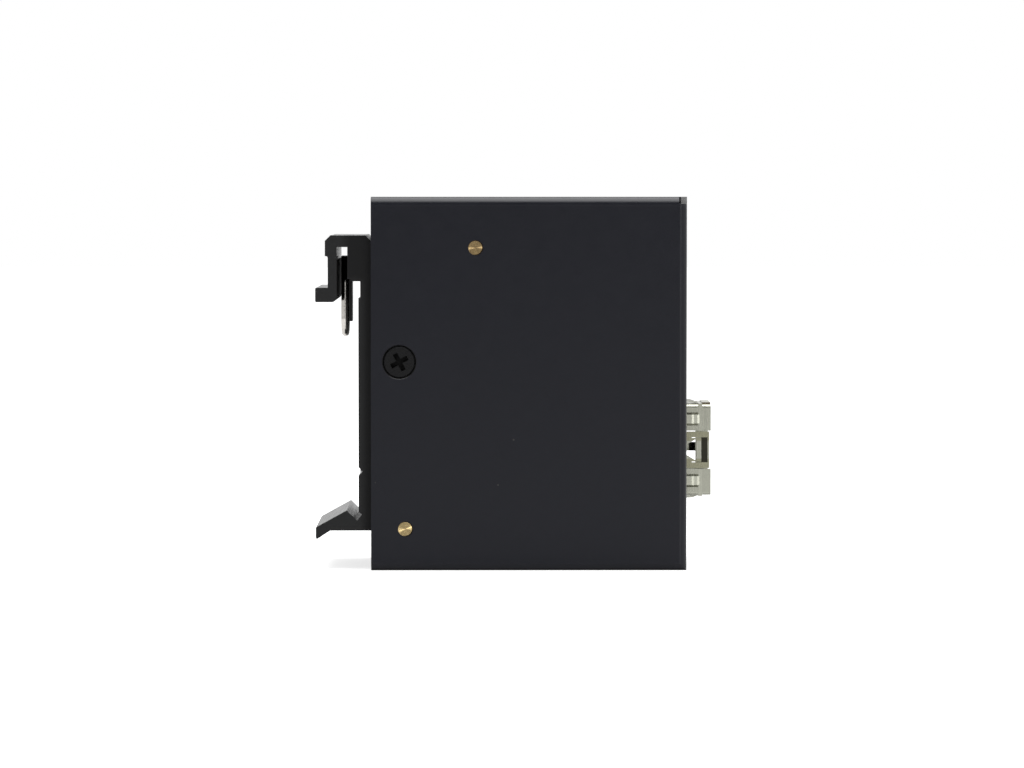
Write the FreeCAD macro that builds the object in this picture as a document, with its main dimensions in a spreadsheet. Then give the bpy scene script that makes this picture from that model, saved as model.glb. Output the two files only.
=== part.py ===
import FreeCAD, Part
import math
import os

import Sketcher
from FreeCAD import Placement, Rotation, Vector

# A DIN-rail media converter with one module cage, one RJ45 jack and a three-way power header.
# Origin at the centre of the case's bottom face, +X to the ports, +Z up.
# The near side panel, which carries the board, lies towards -Y. Millimetres.

# Driving dimensions
SIZES = {
    # Case, two shells folded from one gauge of sheet
    "case_depth": 49.0,
    "case_width": 28.0,
    "case_height": 58.0,
    "sheet": 1.0,
    "bend_inside": 0.2,
    "seam": 0.1,
    "overcut": 1.0,
    "corner_relief": 1.0,
    "corner_gap": 0.25,
    "return_flange": 5.0,
    "flange_relief": 0.4,
    "lip_depth": 6.0,
    "hook_length": 12.0,
    "hook_reach": 3.4,
    "hook_height_low": 8.0,
    "hook_height_high": 38.0,
    "tab_length": 8.5,
    "tab_height": 13.0,
    # Case screw and its press nut
    "case_screw_from_rear": 4.4,
    "case_screw_height": 32.4,
    "case_screw_length": 4.0,
    "case_screw_turn": 28.0,
    "countersink": 5.4,
    "screw_head": 5.2,
    "screw_rim": 0.3,
    "screw_rim_drop": 0.15,
    "screw_shank": 3.0,
    "thread_gap": 0.05,
    "hole_gap": 0.15,
    "cross_length": 2.9,
    "cross_width": 0.75,
    "cross_depth": 1.0,
    "nut_brim": 0.9,
    "nut_flange_rise": 1.5,
    "nut_wall": 0.6,
    "nut_flush": 0.05,
    "nut_chamfer": 0.25,
    "press_gap": 0.02,
    # Rail clip, an extrusion screwed to the rear wall
    "clip_width": 25.0,
    "clip_plate": 1.96,
    "crown_rise": 8.57,
    "clip_bottom": 6.15,
    "clip_chamfer": 0.85,
    "clip_corner": 0.2,
    "rail_width": 35.0,
    "rail_sheet": 1.12,
    "rail_play": 0.1,
    "rail_seat": 8.45,
    "rail_lift": 1.45,
    "slot_relief": 0.29,
    "slot_relief_rise": 2.6,
    "tongue_sheet": 0.49,
    "tongue_overlap": 5.0,
    "tongue_half": 3.0,
    "tongue_relief": 0.35,
    "spring_slot": 1.65,
    "spring_slot_rise": 6.75,
    "leg_sheet": 1.39,
    "leg_step": 0.44,
    "leg_step_rise": 5.35,
    "leg_round": 0.3,
    "foot_reach": 8.66,
    "foot_rise": 0.45,
    "foot_sheet": 2.23,
    "foot_round": 0.8,
    "groove_height": 15.35,
    "groove_half": 0.67,
    "groove_depth": 0.6,
    "hook_tip_reach": 3.83,
    "hook_tip_rise": 0.83,
    "hook_root_reach": 2.19,
    "hook_root_drop": 0.76,
    "hook_undercut": 0.5,
    "hook_undercut_rise": 0.22,
    "hook_mouth_rise": 0.64,
    "claw_reach": 8.62,
    "claw_top": 6.65,
    "claw_bottom": 4.7,
    "claw_root_reach": 6.4,
    # Clip screws
    "clip_screw_pitch": 16.0,
    "clip_screw_head": 5.5,
    "clip_screw_length": 5.0,
    # Rail spring, a hairpin of round wire
    "spring_wire": 1.22,
    "spring_half": 2.2,
    "spring_drop": 7.47,
    "spring_rise": 5.27,
    "spring_gap": 0.03,
    # Board and its brass standoffs
    "board_sheet": 1.6,
    "board_edge": 1.5,
    "board_front_gap": 0.15,
    "standoff_height": 4.5,
    "standoff_body": 4.2,
    "rivet_end": 2.3,
    "standoff_tap_depth": 3.4,
    "upper_standoff_from_rear": 16.25,
    "upper_standoff_height": 50.1,
    "lower_standoff_from_rear": 5.35,
    "lower_standoff_height": 6.5,
    "board_screw_shank": 2.0,
    "board_screw_head": 3.8,
    "board_screw_rise": 1.3,
    "board_screw_length": 4.4,
    # Module cage
    "cage_width": 14.2,
    "cage_rise": 9.8,
    "cage_length": 48.8,
    "cage_sheet": 0.3,
    "cage_corner": 0.45,
    "cage_projection": 4.05,
    "cage_height": 18.4,
    "cage_board_gap": 0.05,
    "vent_hole": 1.2,
    "vent_inset": 9.0,
    "vent_pitch": 6.0,
    "latch_width": 5.72,
    "latch_slit": 0.13,
    "latch_length": 10.5,
    "latch_setback": 0.24,
    "latch_slot_inset": 0.49,
    "latch_slot_depth": 0.99,
    "latch_slot_width": 3.93,
    "flap_slit": 0.12,
    "flap_length": 1.5,
    "latch_window_inset": 2.23,
    "latch_window_depth": 2.9,
    "latch_window_width": 3.5,
    "lap_setback": 0.02,
    "lap_inset": 0.95,
    "lap_rise": 0.3,
    "window_front_gap": 1.0,
    "window_side_gap": 0.3,
    # Spring collar round the cage
    "collar_inset": 1.35,
    "collar_band": 0.6,
    "collar_sheet": 0.15,
    "finger_width": 1.38,
    "finger_offset": 4.83,
    "finger_crest": 0.88,
    "finger_rise": 0.35,
    "finger_bulge": 0.55,
    "finger_reach": 3.0,
    "finger_length": 4.4,
    "finger_bend": 0.17,
    "finger_window": 2.05,
    "far_window": 6.0,
    "finger_rest": 0.6,
    "side_finger_pitch": 2.7,
    "top_finger_pitch": 4.3,
    "bay_clearance": 0.1,
    # Edge connector inside the cage
    "connector_length": 11.5,
    "connector_width": 11.0,
    "connector_rise": 6.4,
    "connector_inset": 0.6,
    "card_slot": 9.3,
    "card_slot_rise": 1.5,
    "card_slot_depth": 5.0,
    "card_slot_height": 3.1,
    "contact_pitch": 0.8,
    "contact_width": 0.4,
    "contact_sheet": 0.22,
    "contact_setback": 0.5,
    # RJ45 jack
    "jack_width": 16.0,
    "jack_rise": 13.4,
    "jack_length": 21.3,
    "jack_height": 37.6,
    "jack_recess": 0.2,
    "jack_gap": 0.25,
    "jack_sheet": 0.25,
    "port_width": 11.9,
    "port_rise": 7.0,
    "port_floor": 2.0,
    "port_depth": 13.5,
    "latch_step_width": 6.3,
    "latch_step_rise": 2.0,
    "wire_pitch": 1.02,
    "wire_width": 0.45,
    "wire_front_inset": 3.2,
    "wire_rise": 2.7,
    "wire_run": 6.5,
    # Power header in the top wall
    "header_from_front": 11.6,
    "header_pitch": 3.5,
    "header_end": 0.85,
    "header_rise": 7.2,
    "header_depth": 9.2,
    "header_recess": 0.2,
    "header_wall": 0.7,
    "header_floor": 2.0,
    "header_gap": 0.2,
    "key_width": 1.6,
    "pin_width": 0.9,
    "pin_rise": 5.4,
    "pin_tail": 1.5,
    # Indicators
    "led_first_height": 48.4,
    "led_pitch": 2.6,
    "led_from_front": 4.3,
    "led_length": 1.6,
    "led_width": 0.8,
    "led_rise": 0.7,
    "pipe_width": 1.7,
    "pipe_gap": 0.1,
    "pipe_rise": 3.4,
}

# Parts on the board: the case's face that they follow and the distance from it,
# height of the lower edge, length along X, length along Z and rise off the board
BOARD_PARTS = {
    "lan_transformer": ("rear", 16.3, 31.4, 9.4, 12.7, 5.4),
    "converter_chip": ("rear", 6.5, 32.6, 9.0, 9.0, 1.0),
    "crystal": ("rear", 7.5, 28.2, 5.0, 3.2, 1.3),
    "regulator_chip": ("rear", 18.9, 46.4, 4.9, 3.9, 1.6),
    "power_inductor": ("rear", 6.0, 43.0, 6.0, 6.0, 3.0),
    "input_diode": ("rear", 18.9, 52.2, 4.3, 2.6, 2.2),
    "input_fuse": ("front", 6.8, 48.6, 3.2, 4.5, 1.0),
}
BOARD_PART_SIZES = ("inset", "height", "length", "width", "rise")
CAPACITOR = {
    "capacitor_from_rear": 9.0,
    "capacitor_height": 52.4,
    "capacitor_body": 5.0,
    "capacitor_rise": 5.4,
    "capacitor_base": 5.3,
    "capacitor_base_rise": 0.8,
}

LED_COUNT = 3
HEADER_WAYS = 3
JACK_WIRES = 8
CONTACT_COLUMNS = 10
VENT_HOLES = 4

doc = FreeCAD.newDocument("media_converter")
dim = doc.addObject("Spreadsheet::Sheet", "dim")
cells = dict(SIZES)
for part_name, (_, *numbers) in BOARD_PARTS.items():
    for size_name, number in zip(BOARD_PART_SIZES, numbers):
        cells[f"{part_name}_{size_name}"] = number
cells.update(CAPACITOR)
for row, (alias, number) in enumerate(cells.items(), start=1):
    dim.set(f"A{row}", alias)
    dim.set(f"B{row}", str(number))
    dim.setAlias(f"B{row}", alias)
doc.recompute()

# Main planes, as expressions of the sheet
REAR = "(-dim.case_depth / 2)"
FRONT = "(dim.case_depth / 2)"
NEAR = "(-dim.case_width / 2)"
FAR = "(dim.case_width / 2)"
TOP = "dim.case_height"
BEND = "(dim.sheet + dim.bend_inside)"
REAR_INSIDE = f"({REAR} + dim.sheet)"
FRONT_INSIDE = f"({FRONT} - dim.sheet)"
NEAR_INSIDE = f"({NEAR} + dim.sheet)"
FAR_INSIDE = f"({FAR} - dim.sheet)"
COVER_NEAR = f"({NEAR_INSIDE} + dim.seam)"
COVER_FRONT = f"({FRONT} - dim.return_flange - dim.seam)"
BOARD_NEAR = f"({NEAR_INSIDE} + dim.standoff_height)"
BOARD_FAR = f"({BOARD_NEAR} + dim.board_sheet)"
CAGE_NEAR = f"({BOARD_FAR} + dim.cage_board_gap)"
CAGE_FAR = f"({CAGE_NEAR} + dim.cage_rise)"
CAGE_FRONT = f"({FRONT} + dim.cage_projection)"
CAGE_REAR = f"({CAGE_FRONT} - dim.cage_length)"
FINGER_ROOT = f"({CAGE_FRONT} - dim.collar_inset - dim.collar_band)"
FINGER_TIP = f"({FINGER_ROOT} - dim.finger_length)"
BAY_GAP = "(dim.finger_bulge + dim.bay_clearance)"
BOARD_FRONT = f"({FINGER_TIP} - dim.board_front_gap)"
JACK_FRONT = f"({FRONT} - dim.jack_recess)"
JACK_FAR = f"({BOARD_FAR} + dim.jack_rise)"
HEADER_FRONT = f"({FRONT} - dim.header_from_front)"
HEADER_REAR = f"({HEADER_FRONT} - {HEADER_WAYS} * dim.header_pitch - 2 * dim.header_end)"
HEADER_FAR = f"({BOARD_FAR} + dim.header_rise)"
HEADER_TOP = f"({TOP} - dim.header_recess)"
HEADER_FOOT = f"({HEADER_TOP} - dim.header_depth)"
SCREW_HOLE = "(dim.screw_shank + 2 * dim.hole_gap)"
NUT_SHANK = "(dim.screw_shank + 2 * dim.nut_wall)"
CASE_SCREW_X = f"({REAR} + dim.case_screw_from_rear)"
RAIL_TOP = "(dim.rail_seat + dim.rail_width)"
TONGUE_IN = "(dim.clip_plate + dim.rail_sheet + dim.rail_play)"
TONGUE_OUT = f"({TONGUE_IN} + dim.tongue_sheet)"
LEG_IN = f"({TONGUE_OUT} + dim.spring_slot)"
SLOT_WALL_SIZES = ("clip_plate", "rail_sheet", "rail_play", "tongue_sheet", "spring_slot")
CLIP_SCREWS = ("dim.groove_height", "(dim.groove_height + dim.clip_screw_pitch)")
STANDOFFS = {
    "standoff_upper": (f"({REAR} + dim.upper_standoff_from_rear)", "dim.upper_standoff_height"),
    "standoff_lower": (f"({REAR} + dim.lower_standoff_from_rear)", "dim.lower_standoff_height"),
}
LED_HEIGHTS = [f"(dim.led_first_height + {step} * dim.led_pitch)" for step in range(LED_COUNT)]
LED_X = f"({FRONT} - dim.led_from_front)"
PIPE_Y = f"({BOARD_FAR} + dim.pipe_rise)"

# Turns of a piece made along local +Z
FACING_NEAR = Rotation(Vector(1, 0, 0), 90)
FACING_FAR = Rotation(Vector(1, 0, 0), -90)
FACING_REAR = Rotation(Vector(0, 1, 0), -90)

finished = []


def value(alias):
    """One driving dimension as a number."""
    return float(dim.get(alias))


def finish(piece, label):
    """Names a finished sub-part and puts it on the list of those that are written."""
    piece.Label = label
    finished.append(piece)
    return piece


def new_body(name):
    """An empty body for one piece."""
    return doc.addObject("PartDesign::Body", name)


def sketch_on(body, name, role, offset="0"):
    """An empty sketch on one of the body's origin planes, moved along the plane's normal."""
    plane = next(item for item in body.Origin.OriginFeatures if item.Role == role)
    sketch = body.newObject("Sketcher::SketchObject", name)
    sketch.AttachmentSupport = (plane, [""])
    sketch.MapMode = "FlatFace"
    sketch.setExpression("AttachmentOffset.Base.z", offset)
    return sketch


def hold(sketch, kind, geometry, point, expression, guess=1.0):
    """Ties one coordinate of a sketch's point to an expression, from a first guess."""
    index = sketch.addConstraint(Sketcher.Constraint(kind, geometry, point, guess))
    sketch.setExpression(f"Constraints[{index}]", expression)


def hold_point(sketch, geometry, point, across, up, guess=(1.0, 1.0)):
    """Ties one point of a sketch to a pair of expressions."""
    hold(sketch, "DistanceX", geometry, point, across, guess[0])
    hold(sketch, "DistanceY", geometry, point, up, guess[1])


def polygon(sketch, points):
    """A closed outline whose corners are pairs of expressions."""
    first = sketch.GeometryCount
    count = len(points)
    angles = [2 * math.pi * corner / count for corner in range(count)]
    ring = [Vector(math.cos(angle), math.sin(angle), 0) for angle in angles]
    for corner in range(count):
        sketch.addGeometry(Part.LineSegment(ring[corner], ring[(corner + 1) % count]), False)
    for corner in range(count):
        following = first + (corner + 1) % count
        sketch.addConstraint(Sketcher.Constraint("Coincident", first + corner, 2, following, 1))
    for corner, (across, up) in enumerate(points):
        hold_point(sketch, first + corner, 1, across, up)
    return sketch


def rectangle(sketch, left, right, low, high):
    """A closed rectangle between two pairs of expressions."""
    return polygon(sketch, [(left, low), (right, low), (right, high), (left, high)])


def circle(sketch, across, up, diameter):
    """A circle at a pair of expressions."""
    index = sketch.addGeometry(Part.Circle(Vector(0, 0, 0), Vector(0, 0, 1), 1.0), False)
    hold_point(sketch, index, 3, across, up)
    size = sketch.addConstraint(Sketcher.Constraint("Diameter", index, 2.0))
    sketch.setExpression(f"Constraints[{size}]", diameter)
    return sketch


def pad(body, name, sketch, length, reverse=False, both_sides=False):
    """Extrudes a sketch along its normal, against it, or half each way."""
    feature = body.newObject("PartDesign::Pad", name)
    feature.Profile = sketch
    feature.setExpression("Length", length)
    feature.Reversed = reverse
    if both_sides:
        feature.SideType = "Symmetric"
    doc.recompute()
    return feature


def pocket(body, name, sketch, depth, reverse=False, both_sides=False):
    """Cuts a sketch into the body, against its normal unless reversed, and proves that it cut."""
    before = body.Shape.Volume
    feature = body.newObject("PartDesign::Pocket", name)
    feature.Profile = sketch
    feature.setExpression("Length", depth)
    feature.Reversed = reverse
    if both_sides:
        feature.SideType = "Symmetric"
    doc.recompute()
    if body.Shape.Volume > before - 1e-6:
        raise RuntimeError(f"{name} cuts nothing")
    return feature


def revolve(body, name, sketch):
    """Turns a half section about the sketch's vertical axis."""
    feature = body.newObject("PartDesign::Revolution", name)
    feature.Profile = sketch
    feature.ReferenceAxis = (sketch, ["V_Axis"])
    feature.Angle = 360.0
    doc.recompute()
    return feature


def fillet(body, name, chosen, radius):
    """Rounds the edges of the body's tip that pass a test."""
    base = body.Tip
    names = [f"Edge{n}" for n, edge in enumerate(base.Shape.Edges, start=1) if chosen(edge)]
    feature = body.newObject("PartDesign::Fillet", name)
    feature.Base = (base, names)
    feature.setExpression("Radius", radius)
    doc.recompute()
    return feature


def hollow(body, name, opened, wall):
    """Shells the body inwards and leaves out the faces that pass a test."""
    base = body.Tip
    names = [f"Face{n}" for n, face in enumerate(base.Shape.Faces, start=1) if opened(face)]
    feature = body.newObject("PartDesign::Thickness", name)
    feature.Base = (base, names)
    feature.setExpression("Value", wall)
    feature.Reversed = True
    doc.recompute()
    return feature


def cone_cut(body, name, role, place, start, finish_diameter, rise):
    """Cuts a cone along a plane's normal, from one diameter to another."""
    before = body.Shape.Volume
    feature = body.newObject("PartDesign::SubtractiveCone", name)
    plane = next(item for item in body.Origin.OriginFeatures if item.Role == role)
    feature.AttachmentSupport = (plane, [""])
    feature.MapMode = "FlatFace"
    for axis, expression in zip("xyz", place):
        feature.setExpression(f"AttachmentOffset.Base.{axis}", expression)
    feature.setExpression("Radius1", f"({start}) / 2")
    feature.setExpression("Radius2", f"({finish_diameter}) / 2")
    feature.setExpression("Height", rise)
    doc.recompute()
    if body.Shape.Volume > before - 1e-6:
        raise RuntimeError(f"{name} cuts nothing")
    return feature


def countersink(body, name, place):
    """Cuts the case screw's countersunk hole into the near panel, along Y."""
    before = body.Shape.Volume
    sketch = sketch_on(body, f"{name}_section", "XY_Plane", place[2])
    sketch.setExpression("AttachmentOffset.Base.x", place[0])
    sketch.setExpression("AttachmentOffset.Base.y", place[1])
    hole = f"({SCREW_HOLE} / 2)"
    depth = "(dim.sheet + dim.overcut)"
    polygon(sketch, [("0", "0"), ("dim.countersink / 2", "0"), (hole, f"dim.countersink / 2 - {hole}"),
                     (hole, depth), ("0", depth)])
    feature = body.newObject("PartDesign::Groove", name)
    feature.Profile = sketch
    feature.ReferenceAxis = (sketch, ["V_Axis"])
    feature.Angle = 360.0
    doc.recompute()
    if body.Shape.Volume > before - 1e-6:
        raise RuntimeError(f"{name} cuts nothing")


def place(piece, x, y, z, rotation=None):
    """Puts a piece at three expressions, turned if a rotation is given."""
    if rotation is not None:
        piece.Placement = Placement(Vector(0, 0, 0), rotation)
    for axis, expression in zip("xyz", (x, y, z)):
        piece.setExpression(f"Placement.Base.{axis}", expression)
    return piece


def block(name, x, y, z):
    """A box between three pairs of expressions."""
    box = doc.addObject("Part::Box", name)
    for size, (low, high) in zip(("Length", "Width", "Height"), (x, y, z)):
        box.setExpression(size, f"({high}) - ({low})")
    return place(box, x[0], y[0], z[0])


def group(name, pieces):
    """Separate solids of one kind in one sub-part."""
    compound = doc.addObject("Part::Compound", name)
    compound.Links = pieces
    return compound


def at(number, target):
    """True where two lengths are the same for this model."""
    return abs(number - target) < 1e-4


def along(edge, axis):
    """True for a straight edge along the axis numbered 0, 1 or 2."""
    start, end = edge.Vertexes[0].Point, edge.Vertexes[-1].Point
    return all(at(start[n], end[n]) for n in range(3) if n != axis)


def chassis():
    """Near panel, top, bottom and front wall, folded from one sheet."""
    body = new_body("chassis")
    front = value("case_depth") / 2
    far = value("case_width") / 2
    outline = rectangle(sketch_on(body, "chassis_outline", "XZ_Plane"), REAR, FRONT, "0", TOP)
    pad(body, "chassis_block", outline, "dim.case_width", both_sides=True)

    def folded(edge):
        centre = edge.CenterOfMass
        near_fold = at(centre.y, -far) and not at(centre.x, -front)
        return near_fold or (at(centre.y, far) and at(centre.x, front))

    fillet(body, "chassis_folds", folded, BEND)
    hollow(body, "chassis_shell", lambda face: at(face.CenterOfMass.x, -front), "dim.sheet")

    # The far side is open up to a return flange along the front
    opening = sketch_on(body, "far_opening", "XZ_Plane", NEAR)
    rectangle(opening, f"{REAR} - dim.overcut", f"{FRONT} - dim.return_flange",
              "dim.sheet", f"{TOP} - dim.sheet")
    pocket(body, "far_opening_cut", opening, "dim.sheet", reverse=True)
    reliefs = sketch_on(body, "flange_reliefs", "XZ_Plane", NEAR)
    for low, high in (("dim.sheet", "dim.sheet + dim.flange_relief"),
                      (f"{TOP} - dim.sheet - dim.flange_relief", f"{TOP} - dim.sheet")):
        rectangle(reliefs, f"{FRONT} - dim.return_flange - dim.seam",
                  f"{FRONT} - {BEND}", low, high)
    pocket(body, "flange_relief_cut", reliefs, "dim.sheet", reverse=True)

    # The top wall ends behind the front wall, with a relief in the panel's corner
    gap_rear = f"{FRONT_INSIDE} - dim.corner_gap"
    relief = sketch_on(body, "corner_relief", "XZ_Plane", FAR)
    rectangle(relief, gap_rear, f"{FRONT} + dim.overcut",
              f"{TOP} - dim.corner_relief", f"{TOP} + dim.overcut")
    pocket(body, "corner_relief_cut", relief, BEND)
    seam = sketch_on(body, "corner_seam", "XY_Plane", TOP)
    rectangle(seam, gap_rear, FRONT_INSIDE, f"{NEAR} - dim.overcut", f"{FAR} + dim.overcut")
    pocket(body, "corner_seam_cut", seam, "dim.sheet")

    ports = sketch_on(body, "port_openings", "YZ_Plane", FRONT)
    bay_half = f"(dim.cage_width / 2 + {BAY_GAP})"
    rectangle(ports, f"{CAGE_NEAR} - {BAY_GAP}", f"{CAGE_FAR} + {BAY_GAP}",
              f"dim.cage_height - {bay_half}", f"dim.cage_height + {bay_half}")
    jack_half = "(dim.jack_width / 2 + dim.jack_gap)"
    rectangle(ports, f"{BOARD_FAR} - dim.jack_gap", f"{JACK_FAR} + dim.jack_gap",
              f"dim.jack_height - {jack_half}", f"dim.jack_height + {jack_half}")
    for height in LED_HEIGHTS:
        circle(ports, PIPE_Y, height, "dim.pipe_width + 2 * dim.pipe_gap")
    pocket(body, "port_openings_cut", ports, "1.5 * dim.sheet")

    header = sketch_on(body, "header_opening", "XY_Plane", TOP)
    rectangle(header, f"{HEADER_REAR} - dim.header_gap", f"{HEADER_FRONT} + dim.header_gap",
              f"{BOARD_FAR} - dim.header_gap", f"{HEADER_FAR} + dim.header_gap")
    pocket(body, "header_opening_cut", header, "1.5 * dim.sheet")

    rivets = sketch_on(body, "rivet_holes", "XZ_Plane", FAR)
    for x, z in STANDOFFS.values():
        circle(rivets, x, z, "dim.rivet_end + 2 * dim.press_gap")
    pocket(body, "rivet_holes_cut", rivets, "1.5 * dim.sheet")
    countersink(body, "case_countersink", (CASE_SCREW_X, NEAR, "dim.case_screw_height"))
    finish(body, "chassis")


def cover():
    """Far panel, rear wall and screw tab, folded from one sheet."""
    body = new_body("cover")
    rear = -value("case_depth") / 2
    far = value("case_width") / 2
    near = -far + value("sheet") + value("seam")
    front = -rear - value("return_flange") - value("seam")
    low = "dim.sheet + dim.seam"
    high = f"{TOP} - dim.sheet - dim.seam"
    outline = rectangle(sketch_on(body, "cover_outline", "XZ_Plane", NEAR), REAR, COVER_FRONT, low, high)
    pad(body, "cover_block", outline, f"{FAR} - {COVER_NEAR}")

    def folded(edge):
        centre = edge.CenterOfMass
        return at(centre.y, far) and not at(centre.x, front)

    fillet(body, "cover_folds", folded, BEND)

    def opened(face):
        centre = face.CenterOfMass
        return at(centre.y, near) or at(centre.x, front)

    hollow(body, "cover_shell", opened, "dim.sheet")
    lips = sketch_on(body, "lip_trim", "XY_Plane", f"{TOP} / 2")
    rectangle(lips, REAR_INSIDE, f"{FRONT} + dim.overcut",
              f"{NEAR} - dim.overcut", f"{FAR} - dim.lip_depth")
    pocket(body, "lip_trim_cut", lips, f"{TOP} + 2 * dim.overcut", both_sides=True)

    tab = sketch_on(body, "screw_tab", "XZ_Plane", f"-{COVER_NEAR}")
    rectangle(tab, REAR, f"{REAR} + dim.tab_length",
              "dim.case_screw_height - dim.tab_height / 2", "dim.case_screw_height + dim.tab_height / 2")
    pad(body, "screw_tab_pad", tab, "dim.sheet", reverse=True)
    hole = sketch_on(body, "tab_hole", "XZ_Plane", f"-{COVER_NEAR}")
    circle(hole, CASE_SCREW_X, "dim.case_screw_height", f"{NUT_SHANK} + 2 * dim.press_gap")
    pocket(body, "tab_hole_cut", hole, "1.5 * dim.sheet")

    holes = sketch_on(body, "clip_nut_holes", "YZ_Plane", REAR)
    for height in CLIP_SCREWS:
        circle(holes, "0", height, f"{NUT_SHANK} + 2 * dim.press_gap")
    pocket(body, "clip_nut_holes_cut", holes, "1.5 * dim.sheet", reverse=True)

    # Two joggled hooks slip under the return flange of the front wall
    tuck = f"({FAR_INSIDE} - dim.seam)"
    for name, height in (("low", "dim.hook_height_low"), ("high", "dim.hook_height_high")):
        hook = sketch_on(body, f"{name}_hook", "XY_Plane", height)
        polygon(hook, [(f"{COVER_FRONT} - 2 * dim.sheet", FAR_INSIDE), (COVER_FRONT, FAR_INSIDE),
                       (COVER_FRONT, tuck), (f"{COVER_FRONT} + dim.hook_reach", tuck),
                       (f"{COVER_FRONT} + dim.hook_reach", f"{tuck} - dim.sheet"),
                       (f"{COVER_FRONT} - dim.sheet", f"{tuck} - dim.sheet")])
        pad(body, f"{name}_hook_pad", hook, "dim.hook_length")
    finish(body, "cover")


def clip_outline():
    """The rail clip's section: corners as distance behind the case and height."""
    leg_out = f"({LEG_IN} + dim.leg_sheet)"
    crown_out = f"({leg_out} + dim.leg_step)"
    foot_top = f"({RAIL_TOP} + dim.foot_rise)"
    foot_low = f"({foot_top} - dim.foot_sheet)"
    relief = "(dim.clip_plate - dim.slot_relief)"
    slot_top = f"({RAIL_TOP} + dim.rail_lift)"
    spring_slot_top = f"({RAIL_TOP} + dim.spring_slot_rise)"
    step = f"({RAIL_TOP} + dim.leg_step_rise)"
    crown = f"({RAIL_TOP} + dim.crown_rise)"
    return [
        ("0", "dim.clip_bottom"),
        ("0", f"{crown} - dim.clip_chamfer"),
        ("dim.clip_chamfer", crown),
        (f"{crown_out} - dim.clip_chamfer", crown),
        (crown_out, f"{crown} - dim.clip_chamfer"),
        (crown_out, step),
        (leg_out, step),
        (leg_out, foot_top),
        ("dim.foot_reach", foot_top),
        ("dim.foot_reach", foot_low),
        (LEG_IN, foot_low),
        (LEG_IN, spring_slot_top),
        (TONGUE_OUT, spring_slot_top),
        (TONGUE_OUT, f"{RAIL_TOP} - dim.tongue_overlap"),
        (TONGUE_IN, f"{RAIL_TOP} - dim.tongue_overlap"),
        (TONGUE_IN, slot_top),
        (relief, slot_top),
        (relief, f"{slot_top} - dim.slot_relief_rise"),
        ("dim.clip_plate", f"{slot_top} - dim.slot_relief_rise"),
        ("dim.clip_plate", "dim.groove_height + dim.groove_half"),
        ("dim.clip_plate - dim.groove_depth", "dim.groove_height"),
        ("dim.clip_plate", "dim.groove_height - dim.groove_half"),
        ("dim.clip_plate", "dim.rail_seat + dim.hook_mouth_rise"),
        ("dim.clip_plate - dim.hook_undercut", "dim.rail_seat + dim.hook_undercut_rise"),
        ("dim.hook_root_reach", "dim.rail_seat - dim.hook_root_drop"),
        ("dim.hook_tip_reach", "dim.rail_seat + dim.hook_tip_rise"),
        ("dim.claw_reach", "dim.claw_top"),
        ("dim.claw_reach", "dim.claw_bottom"),
        ("dim.claw_root_reach", "dim.clip_bottom"),
    ]


def din_bracket():
    """Extruded rail clip: plate, upper slots with tongue and foot, lower hook."""
    body = new_body("din_bracket")
    section = sketch_on(body, "clip_section", "XZ_Plane")
    polygon(section, [(f"{REAR} - ({behind})", height) for behind, height in clip_outline()])
    pad(body, "clip_extrusion", section, "dim.clip_width", both_sides=True)
    rear = -value("case_depth") / 2
    foot_end = rear - value("foot_reach")
    claw_end = rear - value("claw_reach")
    slot_wall = rear - sum(value(size) for size in SLOT_WALL_SIZES)
    leg_wall = slot_wall - value("leg_sheet")
    rail_top = value("rail_seat") + value("rail_width")
    foot_low = rail_top + value("foot_rise") - value("foot_sheet")
    step = rail_top + value("leg_step_rise")

    def blunt(edge):
        return along(edge, 1) and (at(edge.CenterOfMass.x, foot_end) or at(edge.CenterOfMass.x, claw_end))

    def inner_foot(edge):
        return along(edge, 1) and at(edge.CenterOfMass.x, slot_wall) and at(edge.CenterOfMass.z, foot_low)

    def under_crown(edge):
        return along(edge, 1) and at(edge.CenterOfMass.x, leg_wall) and at(edge.CenterOfMass.z, step)

    fillet(body, "clip_corners", blunt, "dim.clip_corner")
    fillet(body, "clip_foot_round", inner_foot, "dim.foot_round")
    fillet(body, "clip_leg_round", under_crown, "dim.leg_round")
    # The tongue is left only in the middle of the clip's width
    ends = sketch_on(body, "tongue_ends", "YZ_Plane", f"{REAR} - {TONGUE_OUT}")
    for start, end in (("-dim.clip_width / 2 - dim.overcut", "-dim.tongue_half"),
                       ("dim.tongue_half", "dim.clip_width / 2 + dim.overcut")):
        rectangle(ends, start, end, f"{RAIL_TOP} - dim.tongue_overlap - dim.overcut",
                  f"{RAIL_TOP} + dim.rail_lift + dim.tongue_relief")
    pocket(body, "tongue_ends_cut", ends, "dim.tongue_sheet", reverse=True)
    holes = sketch_on(body, "clip_holes", "YZ_Plane", f"{REAR} - dim.clip_plate")
    for height in CLIP_SCREWS:
        circle(holes, "0", height, SCREW_HOLE)
    pocket(body, "clip_holes_cut", holes, "dim.clip_plate + dim.overcut", reverse=True)
    for number, height in enumerate(CLIP_SCREWS, start=1):
        cone_cut(body, f"clip_countersink_{number}", "YZ_Plane", ("0", height, f"{REAR} - dim.clip_plate"),
                 "dim.clip_screw_head + 2 * dim.thread_gap", "dim.screw_shank + 2 * dim.thread_gap",
                 "(dim.clip_screw_head - dim.screw_shank) / 2")
    finish(body, "din_bracket")


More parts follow.
